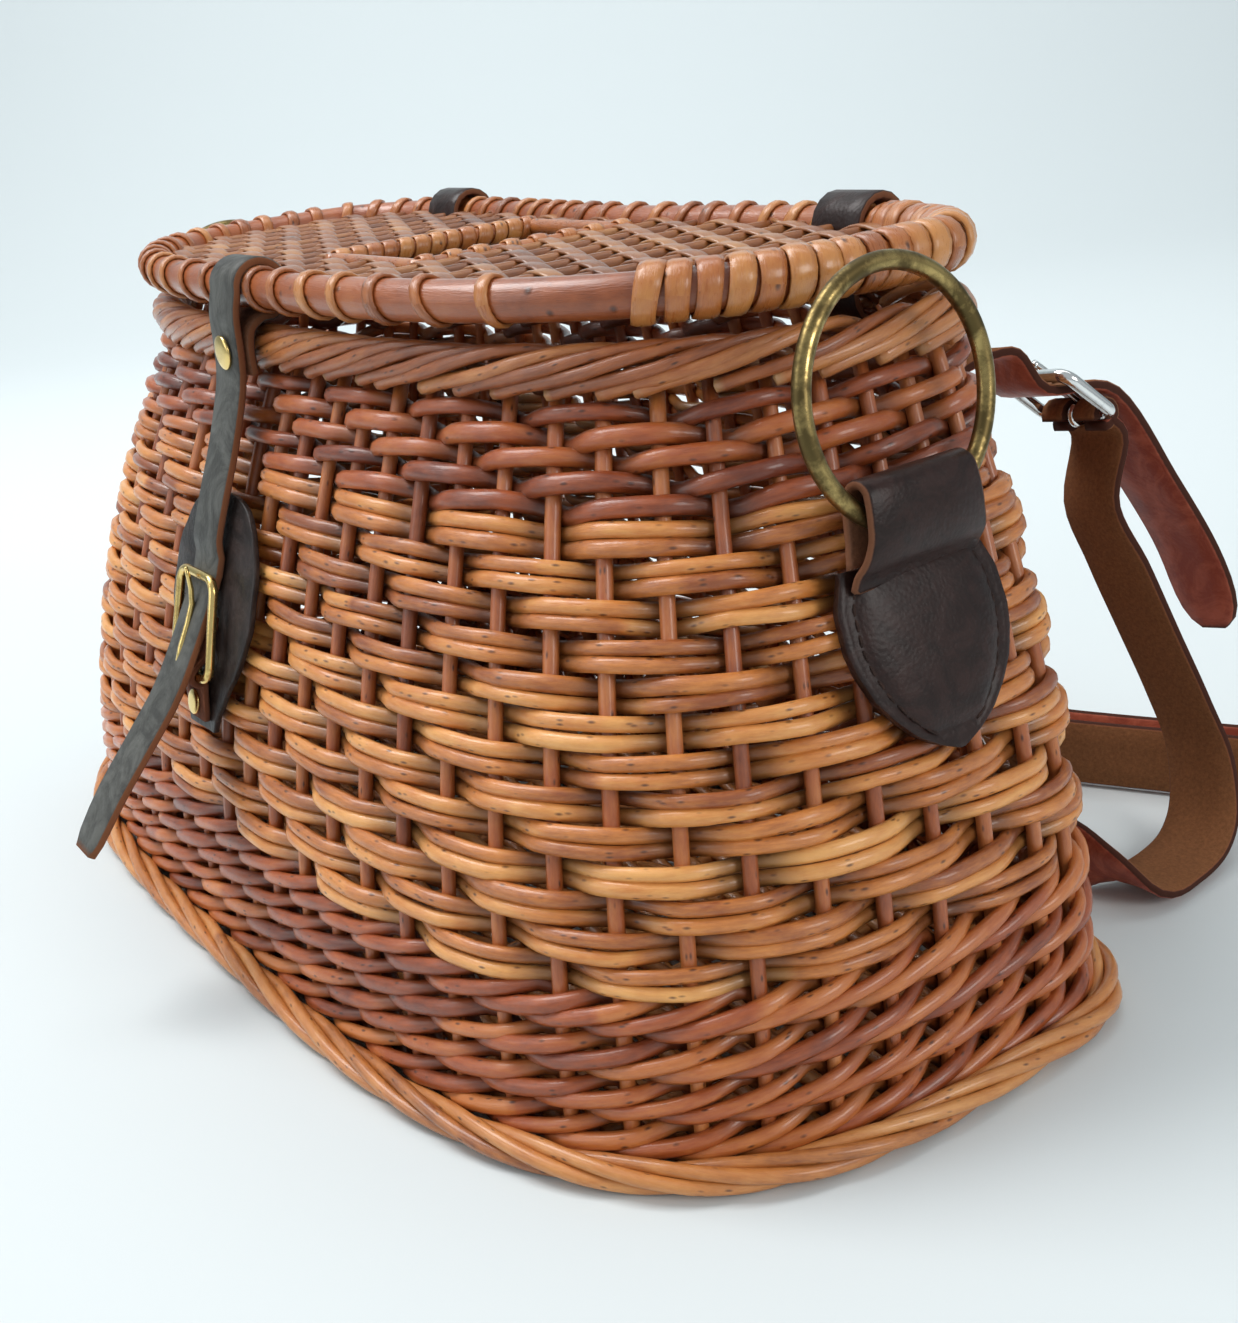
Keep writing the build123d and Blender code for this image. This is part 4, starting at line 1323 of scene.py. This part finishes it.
@dataclass
class HingeLoops:
    """The two dark leather loops that join the lid to the border."""

    wall: Wall
    lid: Lid
    x: float = 100.0
    half_width: float = 9.0
    half_thick: float = 1.0
    lid_gap: float = 6.7
    border_z: float = 174.0
    border_inset: float = 3.5
    border_gap: float = 7.05

    def build(self) -> None:
        """Wraps both loops."""
        lid_y = self.lid.outer.grown(-self.lid.rim_radius).back_at(self.x)
        border_y = self.wall.outline(self.wall.height).grown(-self.border_inset).back_at(self.x)
        places = arc(lid_y, self.lid.z, self.lid_gap + self.half_thick, range(190, -21, -21))
        places += arc(border_y, self.border_z, self.border_gap + self.half_thick, range(-11, -180, -21))
        for side in Side:
            path = np.array([(side.value * self.x, y, z) for y, z in places])
            strands = Strands()
            strands.strap(path, ALONG_X, self.half_width, self.half_thick, closed=True)
            names = f"hinge_leather_{side.word}", f"hinge_loop_{side.word}"
            strands.build(names[0], "dark_leather", "basket", "leather_dark", names[1])


def leather_plate(name: str, shares: Shares, drop: float = 0.0, slit: bool = False) -> Object:
    """Cuts a leather plate from a grid: x runs across from -1 to 1, and z up from 0 to 1.

    Args:
        name: the piece's name.
        shares: height and half width of the plate, from its foot to its top, as shares.
        drop: how far the corners of the top are rounded down.
        slit: whether it has a slit for the tab.
    Returns:
        The plate, flat and in object mode.
    """
    clear_bench()
    bpy.ops.mesh.primitive_grid_add(x_subdivisions=28, y_subdivisions=36, size=2.0)
    plate = take(name)
    if slit:
        pick(plate, Part.FACE, lambda middle, way: abs(middle.x) < 0.27 and abs(middle.y + 0.048) < 0.06)
        bpy.ops.mesh.delete(type="FACE")
        bpy.ops.object.mode_set(mode="OBJECT")
    for vertex in plate.data.vertices:
        s, t = vertex.co.x, (vertex.co.y + 1) / 2
        vertex.co = (s * float(np.interp(t, *zip(*shares))), 0.0, t - drop * abs(s) ** 3.2 * t**3)
    return plate


def wire_loop(name: str, corners: list[Point], bend: float, radius: float) -> Object:
    """Bends a closed loop of round wire.

    Args:
        name: the piece's name.
        corners: its four corners, in millimetres.
        bend: how far from a corner its bend starts.
        radius: the wire's radius.
    Returns:
        The loop as a mesh.
    """
    clear_bench()
    bpy.ops.mesh.primitive_plane_add(size=2.0)
    loop = take(name)
    first, second, third, fourth = corners
    move_vertices(loop, (first, second, fourth, third))
    bpy.ops.object.mode_set(mode="EDIT")
    bpy.ops.mesh.select_all(action="SELECT")
    bpy.ops.mesh.bevel(offset=bend * MM, segments=6, affect="VERTICES")
    bpy.ops.mesh.select_all(action="SELECT")
    bpy.ops.mesh.delete(type="ONLY_FACE")
    bpy.ops.object.mode_set(mode="OBJECT")
    bpy.ops.object.convert(target="CURVE")
    loop.data.bevel_depth = radius * MM
    loop.data.bevel_resolution = 4
    bpy.ops.object.convert(target="MESH")
    loop = bpy.context.object
    finish_mesh(loop, 60.0)
    return loop


def rivet(name: str, radius: float, height: float, middle: Point, way: Point) -> Object:
    """Turns a domed rivet head.

    Args:
        name: the piece's name.
        radius: its radius.
        height: its height.
        middle: the middle of its head, in millimetres.
        way: where it faces.
    Returns:
        The head.
    """
    clear_bench()
    bpy.ops.mesh.primitive_cylinder_add(vertices=36, radius=radius * MM, depth=height * 0.6 * MM)
    head = take(name)
    pick(head, Part.FACE, lambda place, normal: normal.z > 0.9)
    for inset, lift in ((0.16, 0.22), (0.24, 0.12), (0.3, 0.06), (0.3, 0.02)):
        bpy.ops.mesh.inset(thickness=radius * inset * 0.8 * MM, depth=height * lift * MM)
    bpy.ops.object.mode_set(mode="OBJECT")
    soften(head, 0.18)
    turn = Vector(way).to_track_quat("Z", "Y").to_matrix().to_4x4()
    head.data.transform(Matrix.Translation(Vector(middle) * MM) @ turn)
    finish_mesh(head, 35.0)
    return head


@dataclass
class FrontLatch:
    """The front patch, the tab with its rivet, the brass buckle and pin, and the strap from the lid."""

    wall: Wall
    lid: Lid
    shares: Shares = (
        (0.0, 0.30), (0.06, 0.36), (0.16, 0.52), (0.28, 0.74), (0.4, 0.9), (0.52, 0.985), (0.62, 1.0),
        (0.75, 0.99), (0.86, 0.93), (1.0, 0.8))
    half_width: float = 27.0
    top: float = 137.0
    foot: float = 74.0
    plate: float = 1.7
    plate_edge: float = 0.45
    leather: float = 2.2
    gap: float = 0.35
    bar_z: float = 91.0
    bar_out: float = 126.4
    top_bar_z: float = 118.0
    top_bar_out: float = 118.14
    wire: float = 1.3
    wire_bend: float = 4.2
    half_frame: float = 12.5
    frame_taper: float = 1.0
    eye: float = 2.2
    pin_radius: float = 1.0
    tab_half: float = 6.6
    tab_thick: float = 0.85
    tab_rivet: tuple[float, float] = (3.6, 1.0)
    strap_rivet: tuple[float, float] = (4.5, 1.2)
    rivet_below: float = 15.0
    strap_y: float = -95.5
    strap_turn: float = 7.05
    strap_half: float = 8.0
    strap_thick: float = 1.15

    def patch(self) -> None:
        """Cuts the dark patch and lays it on the wall."""
        plate = leather_plate("front_patch_leather", self.shares, 0.13, slit=True)
        co = np.array([v.co for v in plate.data.vertices])
        x, z = co[:, 0] * self.half_width, self.foot + (self.top - self.foot) * co[:, 2]
        swelling = 0.5 * np.exp(-((x / 16) ** 2) - (((z - 98) / 20) ** 2))
        creases = 0.22 * np.sin(x * 0.31 + z * 0.17) * np.sin(z * 0.23)
        out = self.gap + 1.5 + np.clip(swelling + creases, -0.2, 0.6)
        move_vertices(plate, self.wall.on_front(x, z, out))
        finish_plate(plate, self.plate, self.plate_edge)
        settle(plate, "crackled_leather", "basket", "leather_dark", "front_patch")

    def tab(self) -> None:
        """Folds the brown tab out of the slit, round the bar and down to its rivet."""

        def off(z: float, out: float) -> float:
            """The place that stands out from the patch at a height."""
            return -(self.wall.outline(z).front + self.gap + self.leather) - out

        places = [(off(104.0, -2.5), 104.0), (off(104.0, 0.6), 103.0), (off(101.0, 1.6), 101.0)]
        places.append((off(97.0, 2.0), 97.0))
        places += arc(-self.bar_out, self.bar_z, self.wire + 1.05, range(120, 301, 30))
        places += [(off(85.0, 1.75), 86.0), (off(80.0, 1.2), 81.0), (off(78.0, 1.0), 77.5)]
        line = smooth_line([(0.0, y, z) for y, z in places], 3)
        strands = Strands()
        half = np.interp(line[:, 2], [77.0, 80.0, 104.0], [5.2, 6.3, self.tab_half])
        strands.strap(line, -ALONG_X, half, self.tab_thick)
        strands.build("tab_leather", "flesh_leather", "basket", "leather_dark", "buckle_tab")

    def buckle(self) -> None:
        """Bends the brass wire frame of the buckle, a little narrower at its top."""
        half, top = self.half_frame, self.half_frame - self.frame_taper
        low, high = (-self.bar_out, self.bar_z), (-self.top_bar_out, self.top_bar_z)
        corners = [(half, *low), (top, *high), (-top, *high), (-half, *low)]
        loop = wire_loop("latch_wire", corners, self.wire_bend, self.wire)
        settle(loop, "bright_brass", "latch_buckle", "brass", "latch_frame")

    def pin(self) -> None:
        """Bends the pin: an eye round the bar, and an arm up to the top bar."""
        places = arc(-self.bar_out, self.bar_z, self.eye, range(60, 421, 30))[::-1]
        places += [(-self.bar_out - 2.9, self.bar_z + 4.0), (-self.top_bar_out - 3.6, self.top_bar_z - 8.0),
                   (-self.top_bar_out - 2.9, self.top_bar_z + 2.5)]
        line = smooth_line([(0.0, y, z) for y, z in places], 3)
        last = len(line) - 1
        thick = self.pin_radius * np.interp(np.arange(len(line)), [0, last - 5, last], [1.0, 1.0, 0.55])
        strands = Strands()
        strands.add(line, ALONG_X, thick, thick, ring_section(10))
        strands.build("latch_pin_wire", "bright_brass", "latch_pin", "brass", "latch_prong")

    def rivets(self) -> None:
        """Heads of the rivet on the tab and the one on the strap."""
        z = self.bar_z - 8.5
        lean = math.atan2(self.wall.outline(z - 2).front - self.wall.outline(z + 2).front, 4.0)
        middle = (0.0, -self.wall.outline(z).front - 5.6, z)
        low = rivet("tab_rivet_head", *self.tab_rivet, middle, (0, -math.cos(lean), math.sin(lean)))
        middle = (0.0, self.strap_y - 2.1, self.lid.z - self.rivet_below)
        high = rivet("strap_rivet_head", *self.strap_rivet, middle, (0, -1, 0))
        settle(low, "bright_brass", "basket", "brass", "tab_rivet")
        settle(high, "bright_brass", "lid", "brass", "latch_rivet")

    def strap(self) -> None:
        """Hangs the grey strap over the rim, through the buckle and out to its loose tail."""
        rim_y, rim_z = self.lid.rim_radius - self.lid.outer.front, self.lid.z
        y, join = self.strap_y, rim_z - self.rivet_below
        behind, before = self.top_bar_out - 3.2, self.bar_out + 5.35
        turns = (-100, -74, -48, -22, 4, 30, 56, 82, 108, 134, 158, 180)
        places = [(y + 2.75, join - 6), (y + 2.75, join), (rim_y - 4.9, rim_z - 9.6)]
        places += arc(rim_y, rim_z, self.strap_turn, turns)
        places += [(y + 0.3, rim_z - 6), (y - 0.3, join), (y - 1.8, join - 9)]
        places += [(-self.wall.outline(z).front - 6.0, z) for z in (150.0, 138.0, 127.0)]
        places += [(-behind, self.top_bar_z), (-before, self.bar_z)]
        places += [(-before - out, self.bar_z - down) for out, down in ((12, 14), (25, 28), (36, 42))]
        path = smooth_line([(0.0, y, z) for y, z in places], 3)
        path[:, 0] += np.interp(path[:, 2], [49.0, 90.0], [-1.5, 0.0])
        half = np.full(len(path), self.strap_half)
        half[-3:] = (7.8, 7.2, 5.4)
        strands = Strands()
        strands.strap(path, -ALONG_X, half, self.strap_thick)
        strands.build("latch_leather", "latch_leather", "lid", "leather_latch", "latch_strap")


@dataclass
class EndFitting:
    """One end's shield patch with its stitching, the fold above it and the brass ring."""

    wall: Wall
    side: Side
    shares: Shares = (
        (0.0, 0.03), (0.05, 0.26), (0.13, 0.5), (0.24, 0.70), (0.36, 0.86), (0.5, 0.96), (0.62, 1.0),
        (0.82, 0.97), (1.0, 0.82))
    foot: float = 88.0
    height: float = 42.0
    half_width: float = 23.0
    middle_y: float = -20.0
    thick: float = 2.6
    edge: float = 0.5
    thread: tuple[float, float] = (0.42, 0.36)
    stitch_x: float = 180.03
    lean: float = math.radians(10.0)
    ring_radius: float = 27.0
    ring_wire: float = 2.1
    ring_above: float = 36.0
    fold_thick: float = 1.1

    def on_patch(self, x: Array, t: Array, out: Array) -> Array:
        """Points on the patch, with x across from -1 to 1 and t from its foot, 0, to the stitch line, 1."""
        y, z = self.middle_y + x * self.half_width, self.foot + self.height * t
        return self.wall.on_end(y, z, out, self.side)

    def patch(self) -> None:
        """Cuts the doubled shield, puffed inside its stitching."""
        plate = leather_plate(f"end_patch_leather_{self.side.word}", self.shares)
        x, _, t = np.array([v.co for v in plate.data.vertices]).T
        wide = np.interp(t, *zip(*self.shares))
        from_side = (1 - np.abs(x / wide)) * wide * self.half_width - 3.6
        near = np.minimum(np.minimum(from_side, (1 - t) * self.height - 1.0), t * self.height - 5.0)
        puff = 1.5 * (1 - np.exp(-np.maximum(near, 0) / 5.0)) - 0.55 * np.exp(-((near / 1.1) ** 2))
        move_vertices(plate, self.on_patch(x, t, 2.0 + puff))
        finish_plate(plate, self.thick, self.edge)
        settle(plate, "dark_leather", "basket", "leather_dark", f"end_patch_{self.side.word}")

    def stitches(self) -> None:
        """Sews the thread along the stitch line and down both sides."""
        strands = Strands()
        t = np.linspace(0.93, 0.10, 12)
        wide = np.interp(t, *zip(*self.shares))
        inset = 1 - 3.8 / (wide * self.half_width)
        across = [(s, 0.955) for s in np.linspace(-0.78, 0.78, 9)]
        share, arched = np.linspace(0.12, 0.88, 6), np.sin(np.linspace(0, math.pi, 6))
        normal = np.array([self.side.value, 0.0, 0.2])
        for line in (across, list(zip(inset, t)), list(zip(-inset, t))):
            for (s0, t0), (s1, t1) in zip(line, line[1:]):
                heights = t0 + (t1 - t0) * share
                x = (s0 + (s1 - s0) * share) * np.interp(heights, *zip(*self.shares))
                path = self.on_patch(x, heights, 2.75 + 0.35 * arched)
                strands.add(path, normal, *self.thread, ring_section(6), tone=0.3)
        strands.build(f"stitching_{self.side.word}", "thread", "basket", "leather_dark")

    def place(self, points: Array) -> Array:
        """Moves points drawn round the stitch line to this end, leaned back with the wall.

        Args:
            points: the points as drawn, with x out from the wall and z up.
        Returns:
            The points in their place.
        """
        x, y, z = points.T
        c, s = math.cos(self.lean), math.sin(self.lean)
        out, up = self.stitch_x + x * c - z * s, self.foot + self.height + x * s + z * c
        return points_of(out * self.side.value, self.middle_y + y, up)

    def fold(self) -> None:
        """Folds the smooth leather over the foot of the ring."""
        places = [(-3.4, -2.2), (-1.6, 0.8), (1.2, 4.0), (2.6, 8.5), (2.8, 13.0), (2.5, 16.6)]
        places += arc(-1, 16.8, 3.45, (35, 70, 105, 140)) + [(-4.5, 16.0), (-4.6, 8.0), (-3.9, 2.6)]
        line = smooth_line([(x, 0.0, z) for x, z in places], 3)
        half = np.interp(line[:, 2], [-2.0, 1.5, 8.0, 18.0, 21.0], [19.0, 19.2, 17.4, 16.6, 16.4])
        strands = Strands()
        strands.strap(self.place(line), np.array([0.0, self.side.value, 0.0]), half, self.fold_thick)
        name, body, node = (part + self.side.word for part in ("fold_leather_", "ring_", "ring_fold_"))
        strands.build(name, "dark_leather", body, "leather_dark", node)

    def ring(self) -> None:
        """Bends and closes the brass ring."""
        clear_bench()
        bpy.ops.mesh.primitive_torus_add(
            major_segments=96, minor_segments=18, major_radius=self.ring_radius * MM,
            minor_radius=self.ring_wire * MM, rotation=(0.0, math.radians(90), 0.0))
        ring = take(f"brass_ring_{self.side.word}")
        bpy.ops.object.transform_apply(location=True, rotation=True, scale=True)
        co = np.array([v.co for v in ring.data.vertices]) / MM + np.array([-1.0, 0.0, self.ring_above])
        move_vertices(ring, self.place(co))
        finish_mesh(ring, 60.0)
        settle(ring, "aged_brass", f"ring_{self.side.word}", "brass", f"ring_{self.side.word}")


@dataclass
class ShoulderStrap:
    """The shoulder strap, its billet, the nickel buckle and pin, and the plates that hold both ends."""

    wall: Wall
    middle: Array = field(default_factory=lambda: np.array([126.5, 88.5, 138.5]))
    along: Array = field(default_factory=lambda: unit(np.array([0.25, 0.73, -0.63])))
    half_length: float = 10.0
    half_frame: float = 14.0
    wire: float = 1.8
    wire_bend: float = 3.6
    half_width: float = 11.0
    half_thick: float = 1.35
    eye: float = 3.3
    eye_half: float = 4.3
    eye_thick: float = 1.3
    pin_eye: float = 2.75
    pin_radius: float = 1.1
    laid_z: float = 12.0
    keeper_x: float = 112.0
    keeper_z: float = 129.5
    keeper_half: tuple[float, float] = (14.0, 15.5)
    keeper: float = 2.2
    keeper_edge: float = 0.5
    rivet: tuple[float, float] = (3.5, 1.2)
    rivet_heights: tuple[float, float] = (129.0, 138.0)
    across: Array = field(init=False)
    up: Array = field(init=False)

    def __post_init__(self) -> None:
        """Works out the buckle's directions."""
        self.across = unit(ALONG_X - self.along * self.along[0])
        self.up = np.cross(self.across, self.along)
        self.up = self.up if self.up[2] > 0 else -self.up

    def at(self, along: float, up: float, across: float = 0.0) -> Point:
        """A point seen from the buckle."""
        return tuple(self.middle + self.along * along + self.up * up + self.across * across)

    def on_back(self, x: float, z: float, out: float) -> Point:
        """A point out from the back wall, clear of it over the strap's width."""
        return (x, self.wall.back_clear(x, z) + out, z)

    def billet(self) -> None:
        """Runs the short strap from the wall, through the buckle and down to its tip."""
        points = [self.on_back(self.keeper_x, z, 4.65) for z in (119.0, 126.0, 134.0, 142.0)]
        points += [(114.0, self.wall.back_at(self.keeper_x, 150.0) + 9.0, 151.0), (119.0, 70.0, 152.5)]
        points += [self.at(-10.0, -4.25), self.at(10.0, 7.05)]
        points += [(135.0, 119.0, 110.3), (141.0, 133.5, 85.4), (147.0, 142.0, 60.1)]
        path = smooth_line(points, 6)
        across = smooth_line([ALONG_X] * 5 + [self.across] * 3 + [ALONG_X] * 3, 6)
        half = np.full(len(path), self.half_width)
        half[-4:] = (10.6, 9.6, 7.6, 4.4)
        strands = Strands()
        strands.strap(path, -across, half, self.half_thick)
        strands.build("billet_leather", "strap_leather", "basket", "leather_strap", "strap_billet")

    def strap(self) -> None:
        """Lays the long strap: down to the table, round on its edge and up to the left plate."""
        start = [self.at(13.0, 0.0), self.at(20.0, -2.0), (131.5, 99.5, 106.0)]
        hang = [(136.0, 107.0, 87.0), (142.0, 114.5, 66.0), (149.0, 121.0, 45.0), (156.0, 124.0, 27.0),
                (162.5, 119.0, 12.0), (167.0, 108.0, 4.7), (169.5, 92.0, 3.2), (169.5, 79.0, 4.7)]
        turn_up = [(161.0, 70.5, 10.2), (145.0, 69.0, 12.4)]
        laid = [(115.0, 70.5), (60.0, 73.0), (0.0, 76.0), (-34.0, 79.0), (-50.0, 83.0), (-57.0, 89.5),
                (-50.0, 96.0), (-30.0, 98.0), (20.0, 101.0), (60.0, 107.0), (98.0, 120.0), (142.0, 141.5),
                (162.0, 151.0), (174.0, 159.0), (172.0, 165.0), (160.0, 160.0), (140.0, 149.5), (98.0, 129.0),
                (60.0, 116.0), (10.0, 110.0), (-60.0, 108.0)]
        rise = [(-98.0, 103.0, 17.0), (-118.0, 94.0, 36.0), (-118.0, 80.0, 68.0), (-114.0, 66.0, 98.0)]
        rise += [self.on_back(-self.keeper_x, z, 5.15) for z in (124.0, 134.0, 144.0)]
        path = smooth_line(start + hang + turn_up + [(x, y, self.laid_z) for x, y in laid] + rise, 5)
        across = [tuple(self.across)] * len(start) + [(1.0, 0.0, 0.0)] * len(hang)
        across += [(0.8, 0.0, 0.5), (0.3, 0.0, 0.95)] + [(0.0, 0.0, 1.0)] * len(laid)
        across += [(-0.4, 0.0, 0.9), (-0.9, 0.0, 0.3)] + [(-1.0, 0.0, 0.0)] * 5
        strands = Strands()
        strands.strap(path, smooth_line(across, 5), self.half_width, self.half_thick)
        turn = arc(self.half_length, 0.0, self.eye, range(-60, 241, 30))
        eye = np.array([self.at(*place) for place in turn])
        aside = self.half_width - self.eye_half
        for shift in (-aside, aside):
            strands.strap(eye + self.across * shift, self.across, self.eye_half, self.eye_thick)
        strands.build("strap_leather_long", "strap_leather", "basket", "leather_strap", "shoulder_strap")

    def buckle(self) -> None:
        """Bends the plated frame of the buckle."""
        a, b = self.half_length, self.half_frame
        corners = [self.at(a, 0, b), self.at(-a, 0, b), self.at(-a, 0, -b), self.at(a, 0, -b)]
        loop = wire_loop("shoulder_wire", corners, self.wire_bend, self.wire)
        settle(loop, "nickel_plate", "shoulder_buckle", "nickel", "shoulder_frame")

    def pin(self) -> None:
        """Bends the pin of the buckle."""
        places = arc(self.half_length, 0.0, self.pin_eye, range(-200, 91, 30))
        places += [(2.0, 3.2), (-7.0, 3.4), (-11.5, 3.25)]
        strands = Strands()
        line = smooth_line([self.at(*place) for place in places], 3)
        strands.add(line, self.across, self.pin_radius, self.pin_radius, ring_section(10))
        strands.build("shoulder_pin_wire", "nickel_plate", "shoulder_pin", "nickel", "shoulder_prong")

    def rivets(self) -> None:
        """Sets two rivets through each end of the strap, joined in one piece."""
        heads = []
        for side in Side:
            for z in self.rivet_heights:
                middle = (side.value * self.keeper_x, self.wall.back_clear(self.keeper_x, z) + 7.6, z)
                heads.append(rivet(f"end_rivet_{side.word}_{z:.0f}", *self.rivet, middle, (0, 1, 0)))
        clear_bench()
        for head in heads:
            head.select_set(True)
        bpy.context.view_layer.objects.active = heads[0]
        bpy.ops.object.join()
        settle(take("keeper_rivet_heads"), "bright_brass", "basket", "brass", "keeper_rivets")

    def keepers(self) -> None:
        """Lays a leather plate on the back wall under each end of the strap."""
        for side in Side:
            clear_bench()
            bpy.ops.mesh.primitive_grid_add(x_subdivisions=10, y_subdivisions=10, size=2.0)
            plate = take(f"keeper_leather_{side.word}")
            points = []
            for s, t, _ in (vertex.co for vertex in plate.data.vertices):
                corner = 1 - 0.04 * abs(s * t) ** 3
                x = self.keeper_x + self.keeper_half[0] * s * corner
                z = self.keeper_z + self.keeper_half[1] * t * corner
                points.append((x * side.value, self.wall.back_at(x, z) + 1.5, z))
            move_vertices(plate, points)
            finish_plate(plate, self.keeper, self.keeper_edge, 30.0)
            settle(plate, "dark_leather", "basket", "leather_dark", f"strap_keeper_{side.word}")


# ---------------------------------------------------------------- the studio


@dataclass
class Studio:
    """A plain pale table in metres, soft light, and the camera at the photograph's place."""

    eye: Vector = field(default_factory=lambda: Vector((406.1, -257.7, 236.2)))
    ahead: Vector = field(default_factory=lambda: Vector((-0.7444, 0.4956, -0.4475)).normalized())
    roll: float = math.radians(-6.34)
    lens: float = 41.56
    lift: float = 0.1173
    far: float = 2.6
    near: float = 9.0
    width: float = 24.0
    rise: float = 5.0
    bend: float = 1.4
    below: float = 0.0004
    table_colour: Colour = (0.665, 0.715, 0.725)
    sky_colour: Colour = (0.86, 0.93, 0.97)
    sky_light: float = 0.52
    sky_seen: float = 0.92

    def camera(self) -> None:
        """Places the camera."""
        data = bpy.data.cameras.new("camera")
        data.lens, data.sensor_width, data.shift_y = self.lens, 36.0, self.lift
        data.clip_start, data.clip_end = 0.01, 50.0
        camera = bpy.data.objects.new("camera", data)
        bpy.context.scene.collection.objects.link(camera)
        right = self.ahead.cross(Vector(UP)).normalized()
        top = right.cross(self.ahead)
        c, s = math.cos(self.roll), math.sin(self.roll)
        turn = Matrix((right * c + top * s, top * c - right * s, -self.ahead)).transposed().to_4x4()
        camera.matrix_world = Matrix.Translation(self.eye * MM) @ turn
        bpy.context.scene.camera = camera

    def table(self) -> None:
        """Lays the pale table and bends its far edge up behind the creel."""
        clear_bench()
        bpy.ops.mesh.primitive_plane_add(size=2.0)
        floor = take("table_top")
        depth, far = self.far + self.near, self.far - 0.01
        for vertex in floor.data.vertices:
            x, y, _ = vertex.co
            vertex.co = (x * self.width / 2, (y * depth + self.far - self.near) / 2, 0.0)
        pick(floor, Part.EDGE, lambda middle, run: middle.y > far)
        bpy.ops.mesh.extrude_region_move(TRANSFORM_OT_translate={"value": (0.0, 0.0, self.rise)})
        bpy.ops.object.mode_set(mode="OBJECT")
        pick(floor, Part.EDGE, lambda middle, run: middle.y > far and middle.z < 0.01)
        bpy.ops.mesh.bevel(offset=self.bend, segments=16)
        bpy.ops.object.mode_set(mode="OBJECT")
        bearing = math.atan2(self.ahead.y, self.ahead.x) - math.pi / 2
        floor.data.transform(Matrix.Translation((0, 0, -self.below)) @ Matrix.Rotation(bearing, 4, "Z"))
        finish_mesh(floor, 60.0)
        recipe = Recipe("pale_table")
        recipe.shade(Base_Color=(*self.table_colour, 1.0), Roughness=0.5, Specular_IOR_Level=0.3)
        floor.data.materials.append(recipe.material)

    def lamp(self, name: str, place: Point, aim: Point, power: float, size: float, colour: Colour) -> None:
        """Hangs one soft lamp.

        Args:
            name: its name.
            place: where it hangs, in metres.
            aim: the point that it lights.
            power: its power in watts.
            size: how wide it is.
            colour: its colour.
        """
        data = bpy.data.lights.new(name, "AREA")
        data.energy, data.size, data.color = power, size, colour
        lamp = bpy.data.objects.new(name, data)
        bpy.context.scene.collection.objects.link(lamp)
        lamp.location = place
        lamp.rotation_mode = "QUATERNION"
        lamp.rotation_quaternion = (Vector(aim) - Vector(place)).to_track_quat("-Z", "Y")

    def light(self) -> None:
        """Sets the lamps, the pale surroundings and the view."""
        middle = (0.0, 0.0, 0.1)
        self.lamp("window", (-0.6, -0.5, 1.5), middle, 19.0, 0.8, (1.0, 1.0, 1.0))
        self.lamp("left_fill", (-0.4, -1.4, 0.7), middle, 4.0, 0.9, (0.95, 0.98, 1.0))
        self.lamp("right_fill", (1.5, 0.3, 0.8), middle, 8.0, 0.6, (1.0, 0.98, 0.95))
        self.lamp("sweep_wash", (-0.7, 0.4, 2.0), (-2.3, 1.5, 0.3), 28.0, 2.0, (0.97, 0.99, 1.0))
        world = bpy.data.worlds.new("surroundings")
        world.use_nodes = True
        sky = Graph(world.node_tree)
        background = world.node_tree.nodes["Background"].inputs
        seen = sky.node("LightPath").outputs["Is Camera Ray"]
        sky.put(background["Color"], (*self.sky_colour, 1.0))
        sky.put(background["Strength"], sky.spread(seen, 0.0, 1.0, self.sky_light, self.sky_seen))
        bpy.context.scene.world = world
        bpy.context.scene.view_settings.view_transform = "Standard"


def main() -> None:
    """Builds the studio and every sub-assembly in order."""
    logging.basicConfig(level=logging.INFO, format="%(name)s: %(message)s")
    random.seed(7)
    studio, wall, lid = Studio(), Wall(), Lid()
    woven, borders = WovenWall(wall), Borders(wall)
    latch, shoulder = FrontLatch(wall, lid), ShoulderStrap(wall)
    steps = [studio.camera, mix_finishes, woven.pairs, woven.uprights, woven.upper_band, woven.lower_band]
    steps += [borders.mouth, borders.foot, Bottom(wall).build]
    steps += [lid.rim, lid.wraps, lid.ribs, lid.flats, lid.slot, HingeLoops(wall, lid).build]
    steps += [latch.patch, latch.tab, latch.buckle, latch.pin, latch.rivets, latch.strap]
    for side in Side:
        end = EndFitting(wall, side)
        steps += [end.patch, end.stitches, end.fold, end.ring]
    steps += [shoulder.billet, shoulder.strap, shoulder.buckle, shoulder.pin]
    steps += [shoulder.rivets, shoulder.keepers]
    steps += [studio.table, studio.light]
    for step in steps:
        step()


if __name__ == "__main__":
    main()
